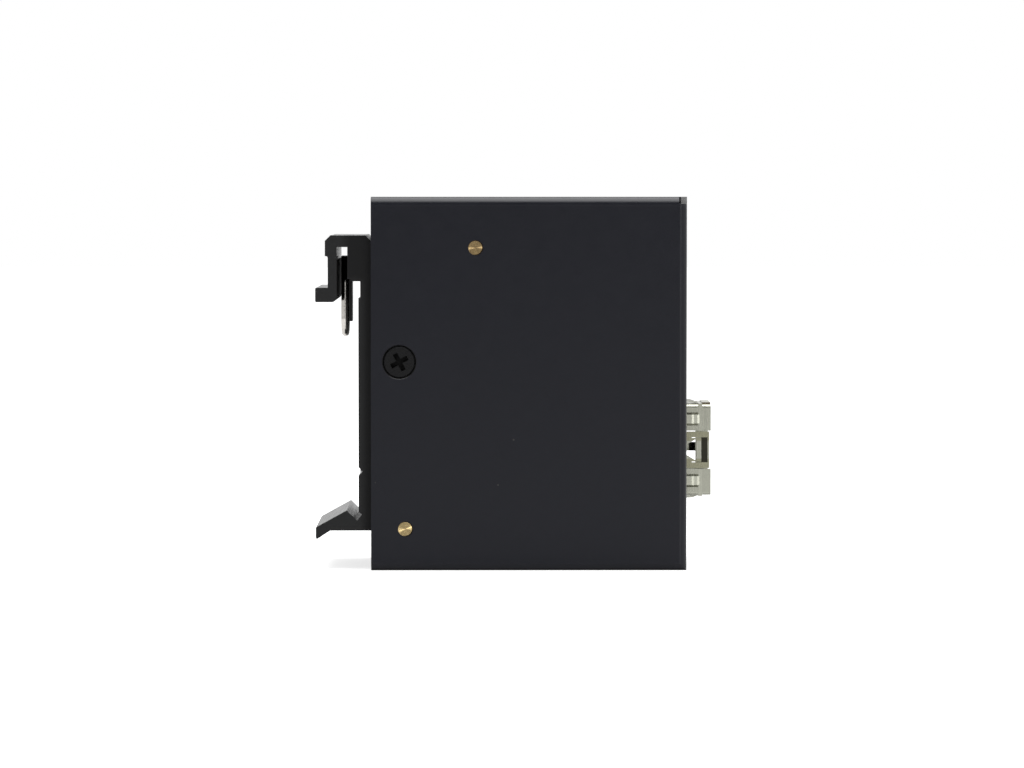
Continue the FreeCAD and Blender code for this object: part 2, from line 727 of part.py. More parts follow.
def rail_spring():
    """A hairpin of spring wire whose two legs stand in the clip's upper slot."""
    body = new_body("rail_spring")
    middle = f"({REAR} - {TONGUE_OUT} - dim.spring_gap - dim.spring_wire / 2)"
    centre = f"({RAIL_TOP} - dim.spring_drop + dim.spring_wire / 2 + dim.spring_half)"
    top = f"({RAIL_TOP} + dim.spring_rise)"
    path = sketch_on(body, "spring_path", "YZ_Plane", middle)
    # A first guess of the hairpin, which the sizes then pull into place
    side, low, high = 2.0, 39.0, 48.0
    near_leg = path.addGeometry(Part.LineSegment(Vector(-side, high, 0), Vector(-side, low, 0)), False)
    ring = Part.Circle(Vector(0, low, 0), Vector(0, 0, 1), side)
    bend = path.addGeometry(Part.ArcOfCircle(ring, math.pi, 2 * math.pi), False)
    far_leg = path.addGeometry(Part.LineSegment(Vector(side, low, 0), Vector(side, high, 0)), False)
    pieces = (near_leg, bend, far_leg)
    for first, second in zip(pieces, pieces[1:]):
        path.addConstraint(Sketcher.Constraint("Coincident", first, 2, second, 1))
    for leg in (near_leg, far_leg):
        path.addConstraint(Sketcher.Constraint("Vertical", leg))
    hold_point(path, bend, 3, "0", centre, (0.0, low))
    hold_point(path, near_leg, 2, "-dim.spring_half", centre, (-side, low))
    hold(path, "DistanceY", near_leg, 1, top, high)
    hold(path, "DistanceY", far_leg, 1, centre, low)
    hold(path, "DistanceY", far_leg, 2, top, high)
    section = sketch_on(body, "spring_section", "XY_Plane", top)
    circle(section, middle, "-dim.spring_half", "dim.spring_wire")
    doc.recompute()
    feature = body.newObject("PartDesign::AdditivePipe", "spring_hairpin")
    feature.Profile = section
    feature.Spine = (path, [f"Edge{number}" for number in range(1, len(pieces) + 1)])
    doc.recompute()
    finish(body, "rail_spring")


def cross_recess(body, name, top):
    """Cuts a cross recess into the end of a screw that was made along +Z."""
    half = "dim.cross_length / 2"
    arm = "dim.cross_width / 2"
    corners = []
    for across, up in ((1, 1), (-1, 1), (-1, -1), (1, -1)):
        tip_right = (f"{across} * {half}", f"{up} * {arm}")
        inner = (f"{across} * {arm}", f"{up} * {arm}")
        tip_up = (f"{across} * {arm}", f"{up} * {half}")
        corners += [tip_right, inner, tip_up] if across * up > 0 else [tip_up, inner, tip_right]
    sketch = polygon(sketch_on(body, f"{name}_cross", "XY_Plane", top), corners)
    pocket(body, f"{name}_cross_cut", sketch, "dim.cross_depth")


def countersunk_screw(name, head, length):
    """A flat-head screw along -Z with its head's face, blunt at the rim, at the origin."""
    body = new_body(name)
    section = polygon(sketch_on(body, f"{name}_section", "XZ_Plane"), [
        ("0", "0"), (f"{head} / 2 - dim.screw_rim", "0"),
        (f"{head} / 2 - dim.screw_rim_drop", "-dim.screw_rim_drop"),
        ("dim.screw_shank / 2", f"(dim.screw_shank - {head}) / 2"),
        ("dim.screw_shank / 2", f"-{length}"), ("0", f"-{length}")])
    revolve(body, f"{name}_turned", section)
    cross_recess(body, name, "0")
    return body


def press_nut(name):
    """A press-in nut along +Z whose flange sits under a sheet at the origin."""
    body = new_body(name)
    bore = "(dim.screw_shank / 2 + dim.thread_gap)"
    rise = "(dim.sheet - dim.nut_flush)"
    section = polygon(sketch_on(body, f"{name}_section", "XZ_Plane"), [
        (f"{bore} + dim.nut_chamfer", rise), (f"{NUT_SHANK} / 2", rise),
        (f"{NUT_SHANK} / 2", "0"), (f"{NUT_SHANK} / 2 + dim.nut_brim", "0"),
        (f"{NUT_SHANK} / 2 + dim.nut_brim", "-dim.nut_flange_rise"), (bore, "-dim.nut_flange_rise"),
        (bore, f"{rise} - dim.nut_chamfer")])
    revolve(body, f"{name}_turned", section)
    return body


def case_fixings():
    """The case screw, sunk in the near panel, and its nut in the cover's tab."""
    sunk = "(dim.countersink - dim.screw_head) / 2 - dim.thread_gap"
    screw = countersunk_screw("case_screw", "dim.screw_head", "dim.case_screw_length")
    turned = FACING_NEAR.multiply(Rotation(Vector(0, 0, 1), value("case_screw_turn")))
    place(screw, CASE_SCREW_X, f"{NEAR} + {sunk}", "dim.case_screw_height", turned)
    finish(screw, "case_screw")
    nut = press_nut("case_nut")
    place(nut, CASE_SCREW_X, f"{COVER_NEAR} + dim.sheet", "dim.case_screw_height", FACING_NEAR)
    finish(nut, "case_nut")


def clip_fixings():
    """Two screws that hold the clip, and their nuts inside the rear wall."""
    screws, nuts = [], []
    for number, height in enumerate(CLIP_SCREWS, start=1):
        screw = countersunk_screw(f"clip_screw_{number}", "dim.clip_screw_head", "dim.clip_screw_length")
        screws.append(place(screw, f"{REAR} - dim.clip_plate", "0", height, FACING_REAR))
        nut = press_nut(f"clip_nut_{number}")
        nuts.append(place(nut, REAR_INSIDE, "0", height, FACING_REAR))
    finish(group("bracket_screws", screws), "bracket_screws")
    finish(group("bracket_nuts", nuts), "bracket_nuts")


def standoffs():
    """Two brass standoffs with flush riveted ends, and the screws that hold the board on them."""
    screws = []
    for name, (x, z) in STANDOFFS.items():
        body = new_body(name)
        tap = "(dim.board_screw_shank / 2 + dim.thread_gap)"
        floor = "(dim.standoff_tap_depth - dim.standoff_height)"
        section = polygon(sketch_on(body, f"{name}_section", "XZ_Plane"), [
            ("0", "dim.sheet"), ("dim.rivet_end / 2", "dim.sheet"), ("dim.rivet_end / 2", "0"),
            ("dim.standoff_body / 2", "0"), ("dim.standoff_body / 2", "-dim.standoff_height"),
            (tap, "-dim.standoff_height"), (tap, floor), ("0", floor)])
        revolve(body, f"{name}_turned", section)
        finish(place(body, x, NEAR_INSIDE, z, FACING_NEAR), name)
        screw = new_body(f"{name}_screw")
        section = polygon(sketch_on(screw, f"{name}_screw_section", "XZ_Plane"), [
            ("0", "dim.board_screw_rise"), ("dim.board_screw_head / 2", "dim.board_screw_rise"),
            ("dim.board_screw_head / 2", "0"), ("dim.board_screw_shank / 2", "0"),
            ("dim.board_screw_shank / 2", "-dim.board_screw_length"), ("0", "-dim.board_screw_length")])
        revolve(screw, f"{name}_screw_turned", section)
        screws.append(place(screw, x, BOARD_FAR, z, FACING_FAR))
    finish(group("board_screws", screws), "board_screws")


def circuit_board():
    """The board, parallel to the near panel."""
    body = new_body("circuit_board")
    outline = sketch_on(body, "board_outline", "XZ_Plane", f"-{BOARD_FAR}")
    rectangle(outline, f"{REAR_INSIDE} + dim.board_edge", BOARD_FRONT,
              "dim.sheet + dim.board_edge", f"{TOP} - dim.sheet - dim.board_edge")
    for x, z in STANDOFFS.values():
        circle(outline, x, z, "dim.board_screw_shank + 2 * dim.hole_gap")
    pad(body, "board_pad", outline, "dim.board_sheet")
    finish(body, "circuit_board")


def sfp_cage():
    """Folded module cage, open at the front, with a lapped seam and a latch tongue."""
    body = new_body("sfp_cage")
    front = value("case_depth") / 2 + value("cage_projection")
    half = "(dim.cage_width / 2)"
    mouth = sketch_on(body, "cage_mouth", "YZ_Plane", CAGE_FRONT)
    rectangle(mouth, CAGE_NEAR, CAGE_FAR, f"dim.cage_height - {half}", f"dim.cage_height + {half}")
    pad(body, "cage_block", mouth, "dim.cage_length", reverse=True)
    fillet(body, "cage_folds", lambda edge: along(edge, 0), "dim.cage_corner")
    hollow(body, "cage_shell", lambda face: at(face.CenterOfMass.x, front), "dim.cage_sheet")

    under = f"-{CAGE_NEAR}"
    window = sketch_on(body, "connector_opening", "XZ_Plane", under)
    window_half = "(dim.connector_width / 2 + dim.window_side_gap)"
    rectangle(window, f"{CAGE_REAR} + dim.connector_inset - dim.seam",
              f"{CAGE_REAR} + dim.connector_inset + dim.connector_length + dim.window_front_gap",
              f"dim.cage_height - {window_half}", f"dim.cage_height + {window_half}")
    pocket(body, "connector_opening_cut", window, "1.5 * dim.cage_sheet")

    # Slits free the latch tongue, whose end stands back from the cage's mouth
    latch = sketch_on(body, "latch_slits", "XZ_Plane", under)
    root = f"({CAGE_FRONT} - dim.latch_length)"
    end = f"({CAGE_FRONT} - dim.latch_setback)"
    inner = "dim.latch_width / 2"
    outer = "(dim.latch_width / 2 + dim.latch_slit)"
    mouth_front = f"{CAGE_FRONT} + dim.overcut"
    polygon(latch, [(root, f"dim.cage_height - {outer}"), (mouth_front, f"dim.cage_height - {outer}"),
                    (mouth_front, f"dim.cage_height + {outer}"), (root, f"dim.cage_height + {outer}"),
                    (root, f"dim.cage_height + {inner}"), (end, f"dim.cage_height + {inner}"),
                    (end, f"dim.cage_height - {inner}"), (root, f"dim.cage_height - {inner}")])
    pocket(body, "latch_slits_cut", latch, "1.5 * dim.cage_sheet")
    holes = sketch_on(body, "latch_holes", "XZ_Plane", under)
    slot_front = f"({CAGE_FRONT} - dim.latch_slot_inset)"
    slot_rear = f"({slot_front} - dim.latch_slot_depth)"
    flap_root = f"({slot_rear} - dim.flap_length)"
    slot_half = "(dim.latch_slot_width / 2)"
    flap_half = "(dim.latch_slot_width / 2 - dim.flap_slit)"
    axis = "dim.cage_height"
    polygon(holes, [(flap_root, f"{axis} - {slot_half}"), (slot_front, f"{axis} - {slot_half}"),
                    (slot_front, f"{axis} + {slot_half}"), (flap_root, f"{axis} + {slot_half}"),
                    (flap_root, f"{axis} + {flap_half}"), (slot_rear, f"{axis} + {flap_half}"),
                    (slot_rear, f"{axis} - {flap_half}"), (flap_root, f"{axis} - {flap_half}")])
    window_front = f"({CAGE_FRONT} - dim.latch_window_inset)"
    polygon(holes, [(window_front, "dim.cage_height - dim.latch_window_width / 2"),
                    (window_front, "dim.cage_height + dim.latch_window_width / 2"),
                    (f"{window_front} - dim.latch_window_depth", "dim.cage_height")])
    pocket(body, "latch_holes_cut", holes, "1.5 * dim.cage_sheet")

    # Windows under the collar's near fingers and its middle far finger, and vents in the far wall
    under_fingers = sketch_on(body, "finger_windows", "XZ_Plane", under)
    for side in (-1, 1):
        centre = f"dim.cage_height + {side} * dim.finger_offset"
        rectangle(under_fingers, f"{FINGER_TIP} + dim.finger_rest", FINGER_ROOT,
                  f"{centre} - dim.finger_window / 2", f"{centre} + dim.finger_window / 2")
    pocket(body, "finger_windows_cut", under_fingers, "1.5 * dim.cage_sheet")
    under_middle = sketch_on(body, "far_window", "XZ_Plane", f"-{CAGE_FAR}")
    rectangle(under_middle, f"{FINGER_TIP} + dim.finger_rest", FINGER_ROOT,
              "dim.cage_height - dim.far_window / 2", "dim.cage_height + dim.far_window / 2")
    pocket(body, "far_window_cut", under_middle, "1.5 * dim.cage_sheet", reverse=True)
    vents = sketch_on(body, "vents", "XZ_Plane", f"-{CAGE_FAR}")
    for step in range(VENT_HOLES):
        circle(vents, f"{CAGE_FRONT} - dim.vent_inset - {step} * dim.vent_pitch", "dim.cage_height",
               "dim.vent_hole")
    pocket(body, "vents_cut", vents, "1.5 * dim.cage_sheet", reverse=True)

    # The sheet's two ends lap on the upper side, in front of the collar
    lap = sketch_on(body, "seam_lap", "YZ_Plane", f"{CAGE_FRONT} - dim.lap_setback")
    upper = f"dim.cage_height + {half}"
    rectangle(lap, f"{CAGE_NEAR} + dim.lap_inset", f"{CAGE_FAR} - dim.cage_corner",
              f"{upper} - dim.cage_sheet / 2", f"{upper} + dim.lap_rise")
    pad(body, "seam_lap_pad", lap, "dim.collar_inset - dim.lap_setback - dim.press_gap", reverse=True)
    finish(body, "sfp_cage")


def collar_finger(name, turn, y, z):
    """One bowed strip of the collar, drawn along X and turned about X to its face of the cage."""
    crest = f"({FINGER_ROOT} - dim.finger_crest)"
    belly = f"({FINGER_ROOT} - dim.finger_reach)"
    overlap = f"({FINGER_ROOT} + dim.collar_band / 2)"
    ramp = "(dim.finger_bend * dim.finger_rise / dim.finger_crest)"
    run = "((dim.finger_bulge - dim.collar_sheet - dim.finger_rise) / (dim.finger_reach - dim.finger_crest))"
    # Underside of the strip from its root to its belly, with a facet at each bend
    under = [(f"{FINGER_ROOT} + dim.finger_bend", "0"), (f"{FINGER_ROOT} - dim.finger_bend", ramp),
             (f"{crest} + dim.finger_bend", f"dim.finger_rise - {ramp}"),
             (f"{crest} - dim.finger_bend", f"dim.finger_rise + dim.finger_bend * {run}"),
             (belly, "dim.finger_bulge - dim.collar_sheet")]
    outer = [(along_x, f"{rise} + dim.collar_sheet") for along_x, rise in under]
    sketch = doc.addObject("Sketcher::SketchObject", f"{name}_section")
    polygon(sketch, [(overlap, "0"), (overlap, "dim.collar_sheet"), *outer, (FINGER_TIP, "dim.collar_sheet"),
                     (FINGER_TIP, "0"), *reversed(under)])
    place(sketch, "0", y, z, Rotation(Vector(1, 0, 0), turn))
    doc.recompute()
    strip = doc.addObject("Part::Extrusion", name)
    strip.Base = sketch
    strip.DirMode = "Normal"
    strip.Solid = True
    strip.Symmetric = True
    strip.setExpression("LengthFwd", "dim.finger_width")
    return strip


def sfp_emi_collar():
    """Spring collar round the cage: a band with bowed fingers that meet the front wall."""
    half = "(dim.cage_width / 2)"
    band_front = f"({CAGE_FRONT} - dim.collar_inset)"
    ring = block("collar_ring", (FINGER_ROOT, band_front),
                 (f"{CAGE_NEAR} - dim.collar_sheet", f"{CAGE_FAR} + dim.collar_sheet"),
                 (f"dim.cage_height - {half} - dim.collar_sheet",
                  f"dim.cage_height + {half} + dim.collar_sheet"))
    through = (f"{FINGER_ROOT} - dim.overcut", f"{band_front} + dim.overcut")
    bore = block("collar_bore", through, (CAGE_NEAR, CAGE_FAR),
                 (f"dim.cage_height - {half}", f"dim.cage_height + {half}"))
    latch_half = "(dim.latch_width / 2 + dim.latch_slit)"
    latch_gap = block("collar_latch_gap", through,
                      (f"{CAGE_NEAR} - dim.overcut", f"{CAGE_NEAR} + dim.overcut"),
                      (f"dim.cage_height - {latch_half}", f"dim.cage_height + {latch_half}"))
    holes = doc.addObject("Part::MultiFuse", "collar_holes")
    holes.Shapes = [bore, latch_gap]
    band = doc.addObject("Part::Cut", "collar_band")
    band.Base = ring
    band.Tool = holes

    middle = f"(({CAGE_NEAR} + {CAGE_FAR}) / 2)"
    faces = []
    for side in (-1, 1):
        faces.append((180, CAGE_NEAR, f"dim.cage_height + {side} * dim.finger_offset"))
    for step in (-1, 0, 1):
        along_side = f"{middle} + {step} * dim.side_finger_pitch"
        faces.append((90, along_side, f"dim.cage_height + {half}"))
        faces.append((270, along_side, f"dim.cage_height - {half}"))
    for step in (-1, 0, 1):
        faces.append((0, CAGE_FAR, f"dim.cage_height + {step} * dim.top_finger_pitch"))
    fingers = [collar_finger(f"collar_finger_{number}", *face)
               for number, face in enumerate(faces, start=1)]
    collar = doc.addObject("Part::MultiFuse", "sfp_emi_collar")
    collar.Shapes = [band] + fingers
    doc.recompute()
    finish(collar, "sfp_emi_collar")


def sfp_connector():
    """Edge connector inside the cage, with its two rows of contacts."""
    rear = f"({CAGE_REAR} + dim.connector_inset)"
    front = f"({rear} + dim.connector_length)"
    half = "(dim.connector_width / 2)"
    slot_near = f"({BOARD_FAR} + dim.card_slot_height)"
    slot_far = f"({slot_near} + dim.card_slot_rise)"
    shell = block("connector_block", (rear, front), (BOARD_FAR, f"{BOARD_FAR} + dim.connector_rise"),
                  (f"dim.cage_height - {half}", f"dim.cage_height + {half}"))
    slot = block("connector_slot", (f"{front} - dim.card_slot_depth", f"{front} + dim.overcut"),
                 (slot_near, slot_far),
                 ("dim.cage_height - dim.card_slot / 2", "dim.cage_height + dim.card_slot / 2"))
    housing = doc.addObject("Part::Cut", "sfp_connector")
    housing.Base = shell
    housing.Tool = slot
    finish(housing, "sfp_connector")
    contacts = []
    for step in range(CONTACT_COLUMNS):
        centre = f"dim.cage_height + ({step} - {(CONTACT_COLUMNS - 1) / 2}) * dim.contact_pitch"
        breadth = (f"{centre} - dim.contact_width / 2", f"{centre} + dim.contact_width / 2")
        depth = (f"{front} - dim.card_slot_depth", f"{front} - dim.contact_setback")
        for row, rise in (("lower", (slot_near, f"{slot_near} + dim.contact_sheet")),
                          ("upper", (f"{slot_far} - dim.contact_sheet", slot_far))):
            contacts.append(block(f"{row}_contact_{step + 1}", depth, rise, breadth))
    finish(group("sfp_contacts", contacts), "sfp_contacts")


def rj45_jack():
    """Shielded RJ45 jack: folded shield, moulded housing and eight contact wires."""
    half = "(dim.jack_width / 2)"
    shield = new_body("jack_shield")
    front = value("case_depth") / 2 - value("jack_recess")
    near = (value("sheet") + value("standoff_height") + value("board_sheet")) - value("case_width") / 2
    mouth = sketch_on(shield, "shield_mouth", "YZ_Plane", JACK_FRONT)
    rectangle(mouth, BOARD_FAR, JACK_FAR, f"dim.jack_height - {half}", f"dim.jack_height + {half}")
    pad(shield, "shield_block", mouth, "dim.jack_length", reverse=True)

    def opened(face):
        return at(face.CenterOfMass.x, front) or at(face.CenterOfMass.y, near)

    hollow(shield, "shield_shell", opened, "dim.jack_sheet")
    finish(shield, "jack_shield")

    housing = new_body("jack_housing")
    inner_half = "(dim.jack_width / 2 - dim.jack_sheet - dim.seam)"
    floor = f"({BOARD_FAR} + dim.port_floor)"
    face = sketch_on(housing, "housing_face", "YZ_Plane", JACK_FRONT)
    rectangle(face, BOARD_FAR, f"{JACK_FAR} - dim.jack_sheet - dim.seam",
              f"dim.jack_height - {inner_half}", f"dim.jack_height + {inner_half}")
    pad(housing, "housing_block", face, "dim.jack_length - dim.jack_sheet - dim.seam", reverse=True)
    port = sketch_on(housing, "port_outline", "YZ_Plane", JACK_FRONT)
    wide = "dim.port_width / 2"
    step = "dim.latch_step_width / 2"
    ceiling = f"({floor} + dim.port_rise)"
    notch = f"({ceiling} + dim.latch_step_rise)"
    polygon(port, [(floor, f"dim.jack_height - {wide}"), (ceiling, f"dim.jack_height - {wide}"),
                   (ceiling, f"dim.jack_height - {step}"), (notch, f"dim.jack_height - {step}"),
                   (notch, f"dim.jack_height + {step}"), (ceiling, f"dim.jack_height + {step}"),
                   (ceiling, f"dim.jack_height + {wide}"), (floor, f"dim.jack_height + {wide}")])
    pocket(housing, "port_cut", port, "dim.port_depth")
    finish(housing, "jack_housing")

    wires = []
    start = f"({JACK_FRONT} - dim.wire_front_inset)"
    back = f"({start} - dim.wire_run)"
    for number in range(JACK_WIRES):
        centre = f"dim.jack_height + ({number} - {(JACK_WIRES - 1) / 2}) * dim.wire_pitch"
        body = new_body(f"jack_wire_{number + 1}")
        bent = sketch_on(body, f"jack_wire_{number + 1}_section", "XY_Plane", centre)
        polygon(bent, [(f"{JACK_FRONT} - dim.port_depth", floor), (start, floor),
                       (start, f"{floor} + dim.wire_width"), (back, f"{floor} + dim.wire_rise"),
                       (back, f"{floor} + dim.wire_rise - dim.wire_width"),
                       (f"{start} - 2 * dim.wire_width", f"{floor} + dim.wire_width"),
                       (f"{JACK_FRONT} - dim.port_depth", f"{floor} + dim.wire_width")])
        pad(body, f"jack_wire_{number + 1}_pad", bent, "dim.wire_width", both_sides=True)
        wires.append(body)
    finish(group("jack_contacts", wires), "jack_contacts")


def power_header():
    """Three-way pluggable-terminal header, open through the top wall, and its pins."""
    body = new_body("power_header")
    mouth = sketch_on(body, "header_outline", "XY_Plane", HEADER_TOP)
    rectangle(mouth, HEADER_REAR, HEADER_FRONT, BOARD_FAR, HEADER_FAR)
    pad(body, "header_block", mouth, "dim.header_depth", reverse=True)
    cavity = sketch_on(body, "header_cavity", "XY_Plane", HEADER_TOP)
    rectangle(cavity, f"{HEADER_REAR} + dim.header_wall", f"{HEADER_FRONT} - dim.header_wall",
              f"{BOARD_FAR} + dim.header_wall", f"{HEADER_FAR} - dim.header_wall")
    pocket(body, "header_cavity_cut", cavity, "dim.header_depth - dim.header_floor")
    keys = sketch_on(body, "header_keys", "XY_Plane", HEADER_TOP)
    ways = [f"({HEADER_REAR} + dim.header_end + ({way} + 0.5) * dim.header_pitch)"
            for way in range(HEADER_WAYS)]
    for x in ways:
        rectangle(keys, f"{x} - dim.key_width / 2", f"{x} + dim.key_width / 2",
                  f"{HEADER_FAR} - 1.5 * dim.header_wall", f"{HEADER_FAR} + dim.overcut")
    pocket(body, "header_keys_cut", keys, "(dim.header_depth - dim.header_floor) / 2")
    pin_near = f"({BOARD_FAR} + (dim.header_rise - dim.pin_width) / 2)"
    sockets = sketch_on(body, "pin_holes", "XY_Plane", HEADER_TOP)
    for x in ways:
        rectangle(sockets, f"{x} - dim.pin_width / 2", f"{x} + dim.pin_width / 2",
                  pin_near, f"{pin_near} + dim.pin_width")
    pocket(body, "pin_holes_cut", sockets, "dim.header_depth + dim.overcut")
    finish(body, "power_header")

    pins = []
    tip = f"({HEADER_FOOT} + dim.header_floor + dim.pin_rise)"
    tail = f"({HEADER_FOOT} - dim.pin_tail)"
    for number, x in enumerate(ways, start=1):
        pin = new_body(f"power_pin_{number}")
        bent = sketch_on(pin, f"power_pin_{number}_section", "YZ_Plane", x)
        polygon(bent, [(pin_near, tip), (f"{pin_near} + dim.pin_width", tip),
                       (f"{pin_near} + dim.pin_width", tail), (BOARD_FAR, tail),
                       (BOARD_FAR, f"{tail} + dim.pin_width"), (pin_near, f"{tail} + dim.pin_width")])
        pad(pin, f"power_pin_{number}_pad", bent, "dim.pin_width", both_sides=True)
        pins.append(pin)
    finish(group("power_pins", pins), "power_pins")


def indicators():
    """Three status lamps on the board and the light pipes that lead them to the front wall."""
    for number, height in enumerate(LED_HEIGHTS, start=1):
        lamp = block(f"status_led_{number}",
                     (f"{LED_X} - dim.led_length / 2", f"{LED_X} + dim.led_length / 2"),
                     (BOARD_FAR, f"{BOARD_FAR} + dim.led_rise"),
                     (f"{height} - dim.led_width / 2", f"{height} + dim.led_width / 2"))
        finish(lamp, f"status_led_{number}")
        pipe = new_body(f"light_pipe_{number}")
        half = "(dim.pipe_width / 2)"
        side = sketch_on(pipe, f"light_pipe_{number}_side", "XY_Plane", height)
        foot = f"({BOARD_FAR} + dim.led_rise + dim.seam)"
        polygon(side, [(f"{LED_X} - {half}", foot), (f"{LED_X} + {half}", foot),
                       (f"{LED_X} + {half}", f"{PIPE_Y} - {half}"),
                       (f"{FRONT_INSIDE} - dim.seam", f"{PIPE_Y} - {half}"),
                       (f"{FRONT_INSIDE} - dim.seam", f"{PIPE_Y} + {half}"),
                       (f"{LED_X} + {half}", f"{PIPE_Y} + {half}"),
                       (f"{LED_X} - {half}", f"{PIPE_Y} - {half}")])
        pad(pipe, f"light_pipe_{number}_pad", side, "dim.pipe_width", both_sides=True)
        lens = sketch_on(pipe, f"light_pipe_{number}_lens", "YZ_Plane", f"{FRONT_INSIDE} - dim.seam")
        circle(lens, PIPE_Y, height, "dim.pipe_width")
        pad(pipe, f"light_pipe_{number}_lens_pad", lens, "dim.sheet + dim.seam")
        finish(pipe, f"light_pipe_{number}")


def board_parts():
    """The packages on the board's far face."""
    for name, (edge, *_) in BOARD_PARTS.items():
        left = f"({REAR} + dim.{name}_inset)"
        if edge == "front":
            left = f"({FRONT} - dim.{name}_inset - dim.{name}_length)"
        finish(block(name, (left, f"{left} + dim.{name}_length"),
                     (BOARD_FAR, f"{BOARD_FAR} + dim.{name}_rise"),
                     (f"dim.{name}_height", f"dim.{name}_height + dim.{name}_width")), name)
    x = f"({REAR} + dim.capacitor_from_rear)"
    half = "dim.capacitor_base / 2"
    base = block("capacitor_base_plate", (f"{x} - {half}", f"{x} + {half}"),
                 (BOARD_FAR, f"{BOARD_FAR} + dim.capacitor_base_rise"),
                 (f"dim.capacitor_height - {half}", f"dim.capacitor_height + {half}"))
    can = doc.addObject("Part::Cylinder", "capacitor_can")
    can.setExpression("Radius", "dim.capacitor_body / 2")
    can.setExpression("Height", "dim.capacitor_rise")
    place(can, x, BOARD_FAR, "dim.capacitor_height", FACING_FAR)
    capacitor = doc.addObject("Part::Fuse", "bulk_capacitor")
    capacitor.Base = base
    capacitor.Tool = can
    finish(capacitor, "bulk_capacitor")


def write_parts():
    """Checks the whole document, then writes one file for each sub-part."""
    doc.recompute()
    failed = [item.Name for item in doc.Objects if "Invalid" in item.State or "Error" in item.State]
    if failed:
        raise RuntimeError(f"failed objects: {failed}")
    for piece in finished:
        if piece.Shape.isNull() or not piece.Shape.isValid() or not piece.Shape.Solids:
            raise RuntimeError(f"bad shape: {piece.Label}")
    os.makedirs("parts", exist_ok=True)
    for piece in finished:
        piece.Shape.exportStep(f"parts/{piece.Label}.step")
        print(f"{piece.Label}: {len(piece.Shape.Solids)} solids, {piece.Shape.Volume:.1f} mm3")


chassis()
cover()
din_bracket()
rail_spring()
case_fixings()
clip_fixings()
standoffs()
circuit_board()
sfp_cage()
sfp_emi_collar()
sfp_connector()
rj45_jack()
power_header()
indicators()
board_parts()
write_parts()
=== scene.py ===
import logging
import math
from dataclasses import dataclass
from enum import Enum
from typing import ClassVar, Optional, Sequence

import bmesh
import bpy
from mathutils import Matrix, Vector


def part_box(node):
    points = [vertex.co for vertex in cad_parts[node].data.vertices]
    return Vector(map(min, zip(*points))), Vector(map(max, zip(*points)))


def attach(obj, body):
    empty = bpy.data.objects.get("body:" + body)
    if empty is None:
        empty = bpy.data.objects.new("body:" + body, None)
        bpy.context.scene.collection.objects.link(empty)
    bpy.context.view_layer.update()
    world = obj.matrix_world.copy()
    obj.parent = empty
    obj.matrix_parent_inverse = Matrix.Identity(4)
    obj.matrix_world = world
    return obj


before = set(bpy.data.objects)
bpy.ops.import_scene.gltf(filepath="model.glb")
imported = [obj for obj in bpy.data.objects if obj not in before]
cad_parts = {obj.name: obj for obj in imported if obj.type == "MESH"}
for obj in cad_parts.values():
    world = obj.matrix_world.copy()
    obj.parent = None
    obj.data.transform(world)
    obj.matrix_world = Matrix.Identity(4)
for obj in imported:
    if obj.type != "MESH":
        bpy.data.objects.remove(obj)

# Looks of a DIN-rail media converter. Lengths are metres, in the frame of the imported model:
# origin at the centre of the case's bottom face, +X to the ports, +Z up, camera on the -Y side.

LOG = logging.getLogger("media_converter")
MM = 0.001
BODY = "root"

Colour = tuple[float, float, float]
Point = tuple[float, float, float]
Box = tuple[Point, Point]
StripPath = tuple[tuple[float, float], ...]
Socket = bpy.types.NodeSocket

# Range that most of a noise lies in, which is spread over the range of a colour or a roughness.
NOISE_LOW = 0.3
NOISE_HIGH = 0.7

BEVEL_STEPS = 2
ROUND_BEVEL = 0.5


def scaled(colour: Colour, factor: float) -> Colour:
    """A darker or lighter colour, with no channel above 1."""
    return tuple(min(1.0, channel * factor) for channel in colour)


class Grain(Enum):
    """Direction in which a metal was drawn, rolled or brushed."""

    ALONG_X = (1.0, 60.0, 60.0)
    ALONG_Y = (60.0, 1.0, 60.0)
    ALONG_Z = (60.0, 60.0, 1.0)
    NONE = (1.0, 1.0, 1.0)


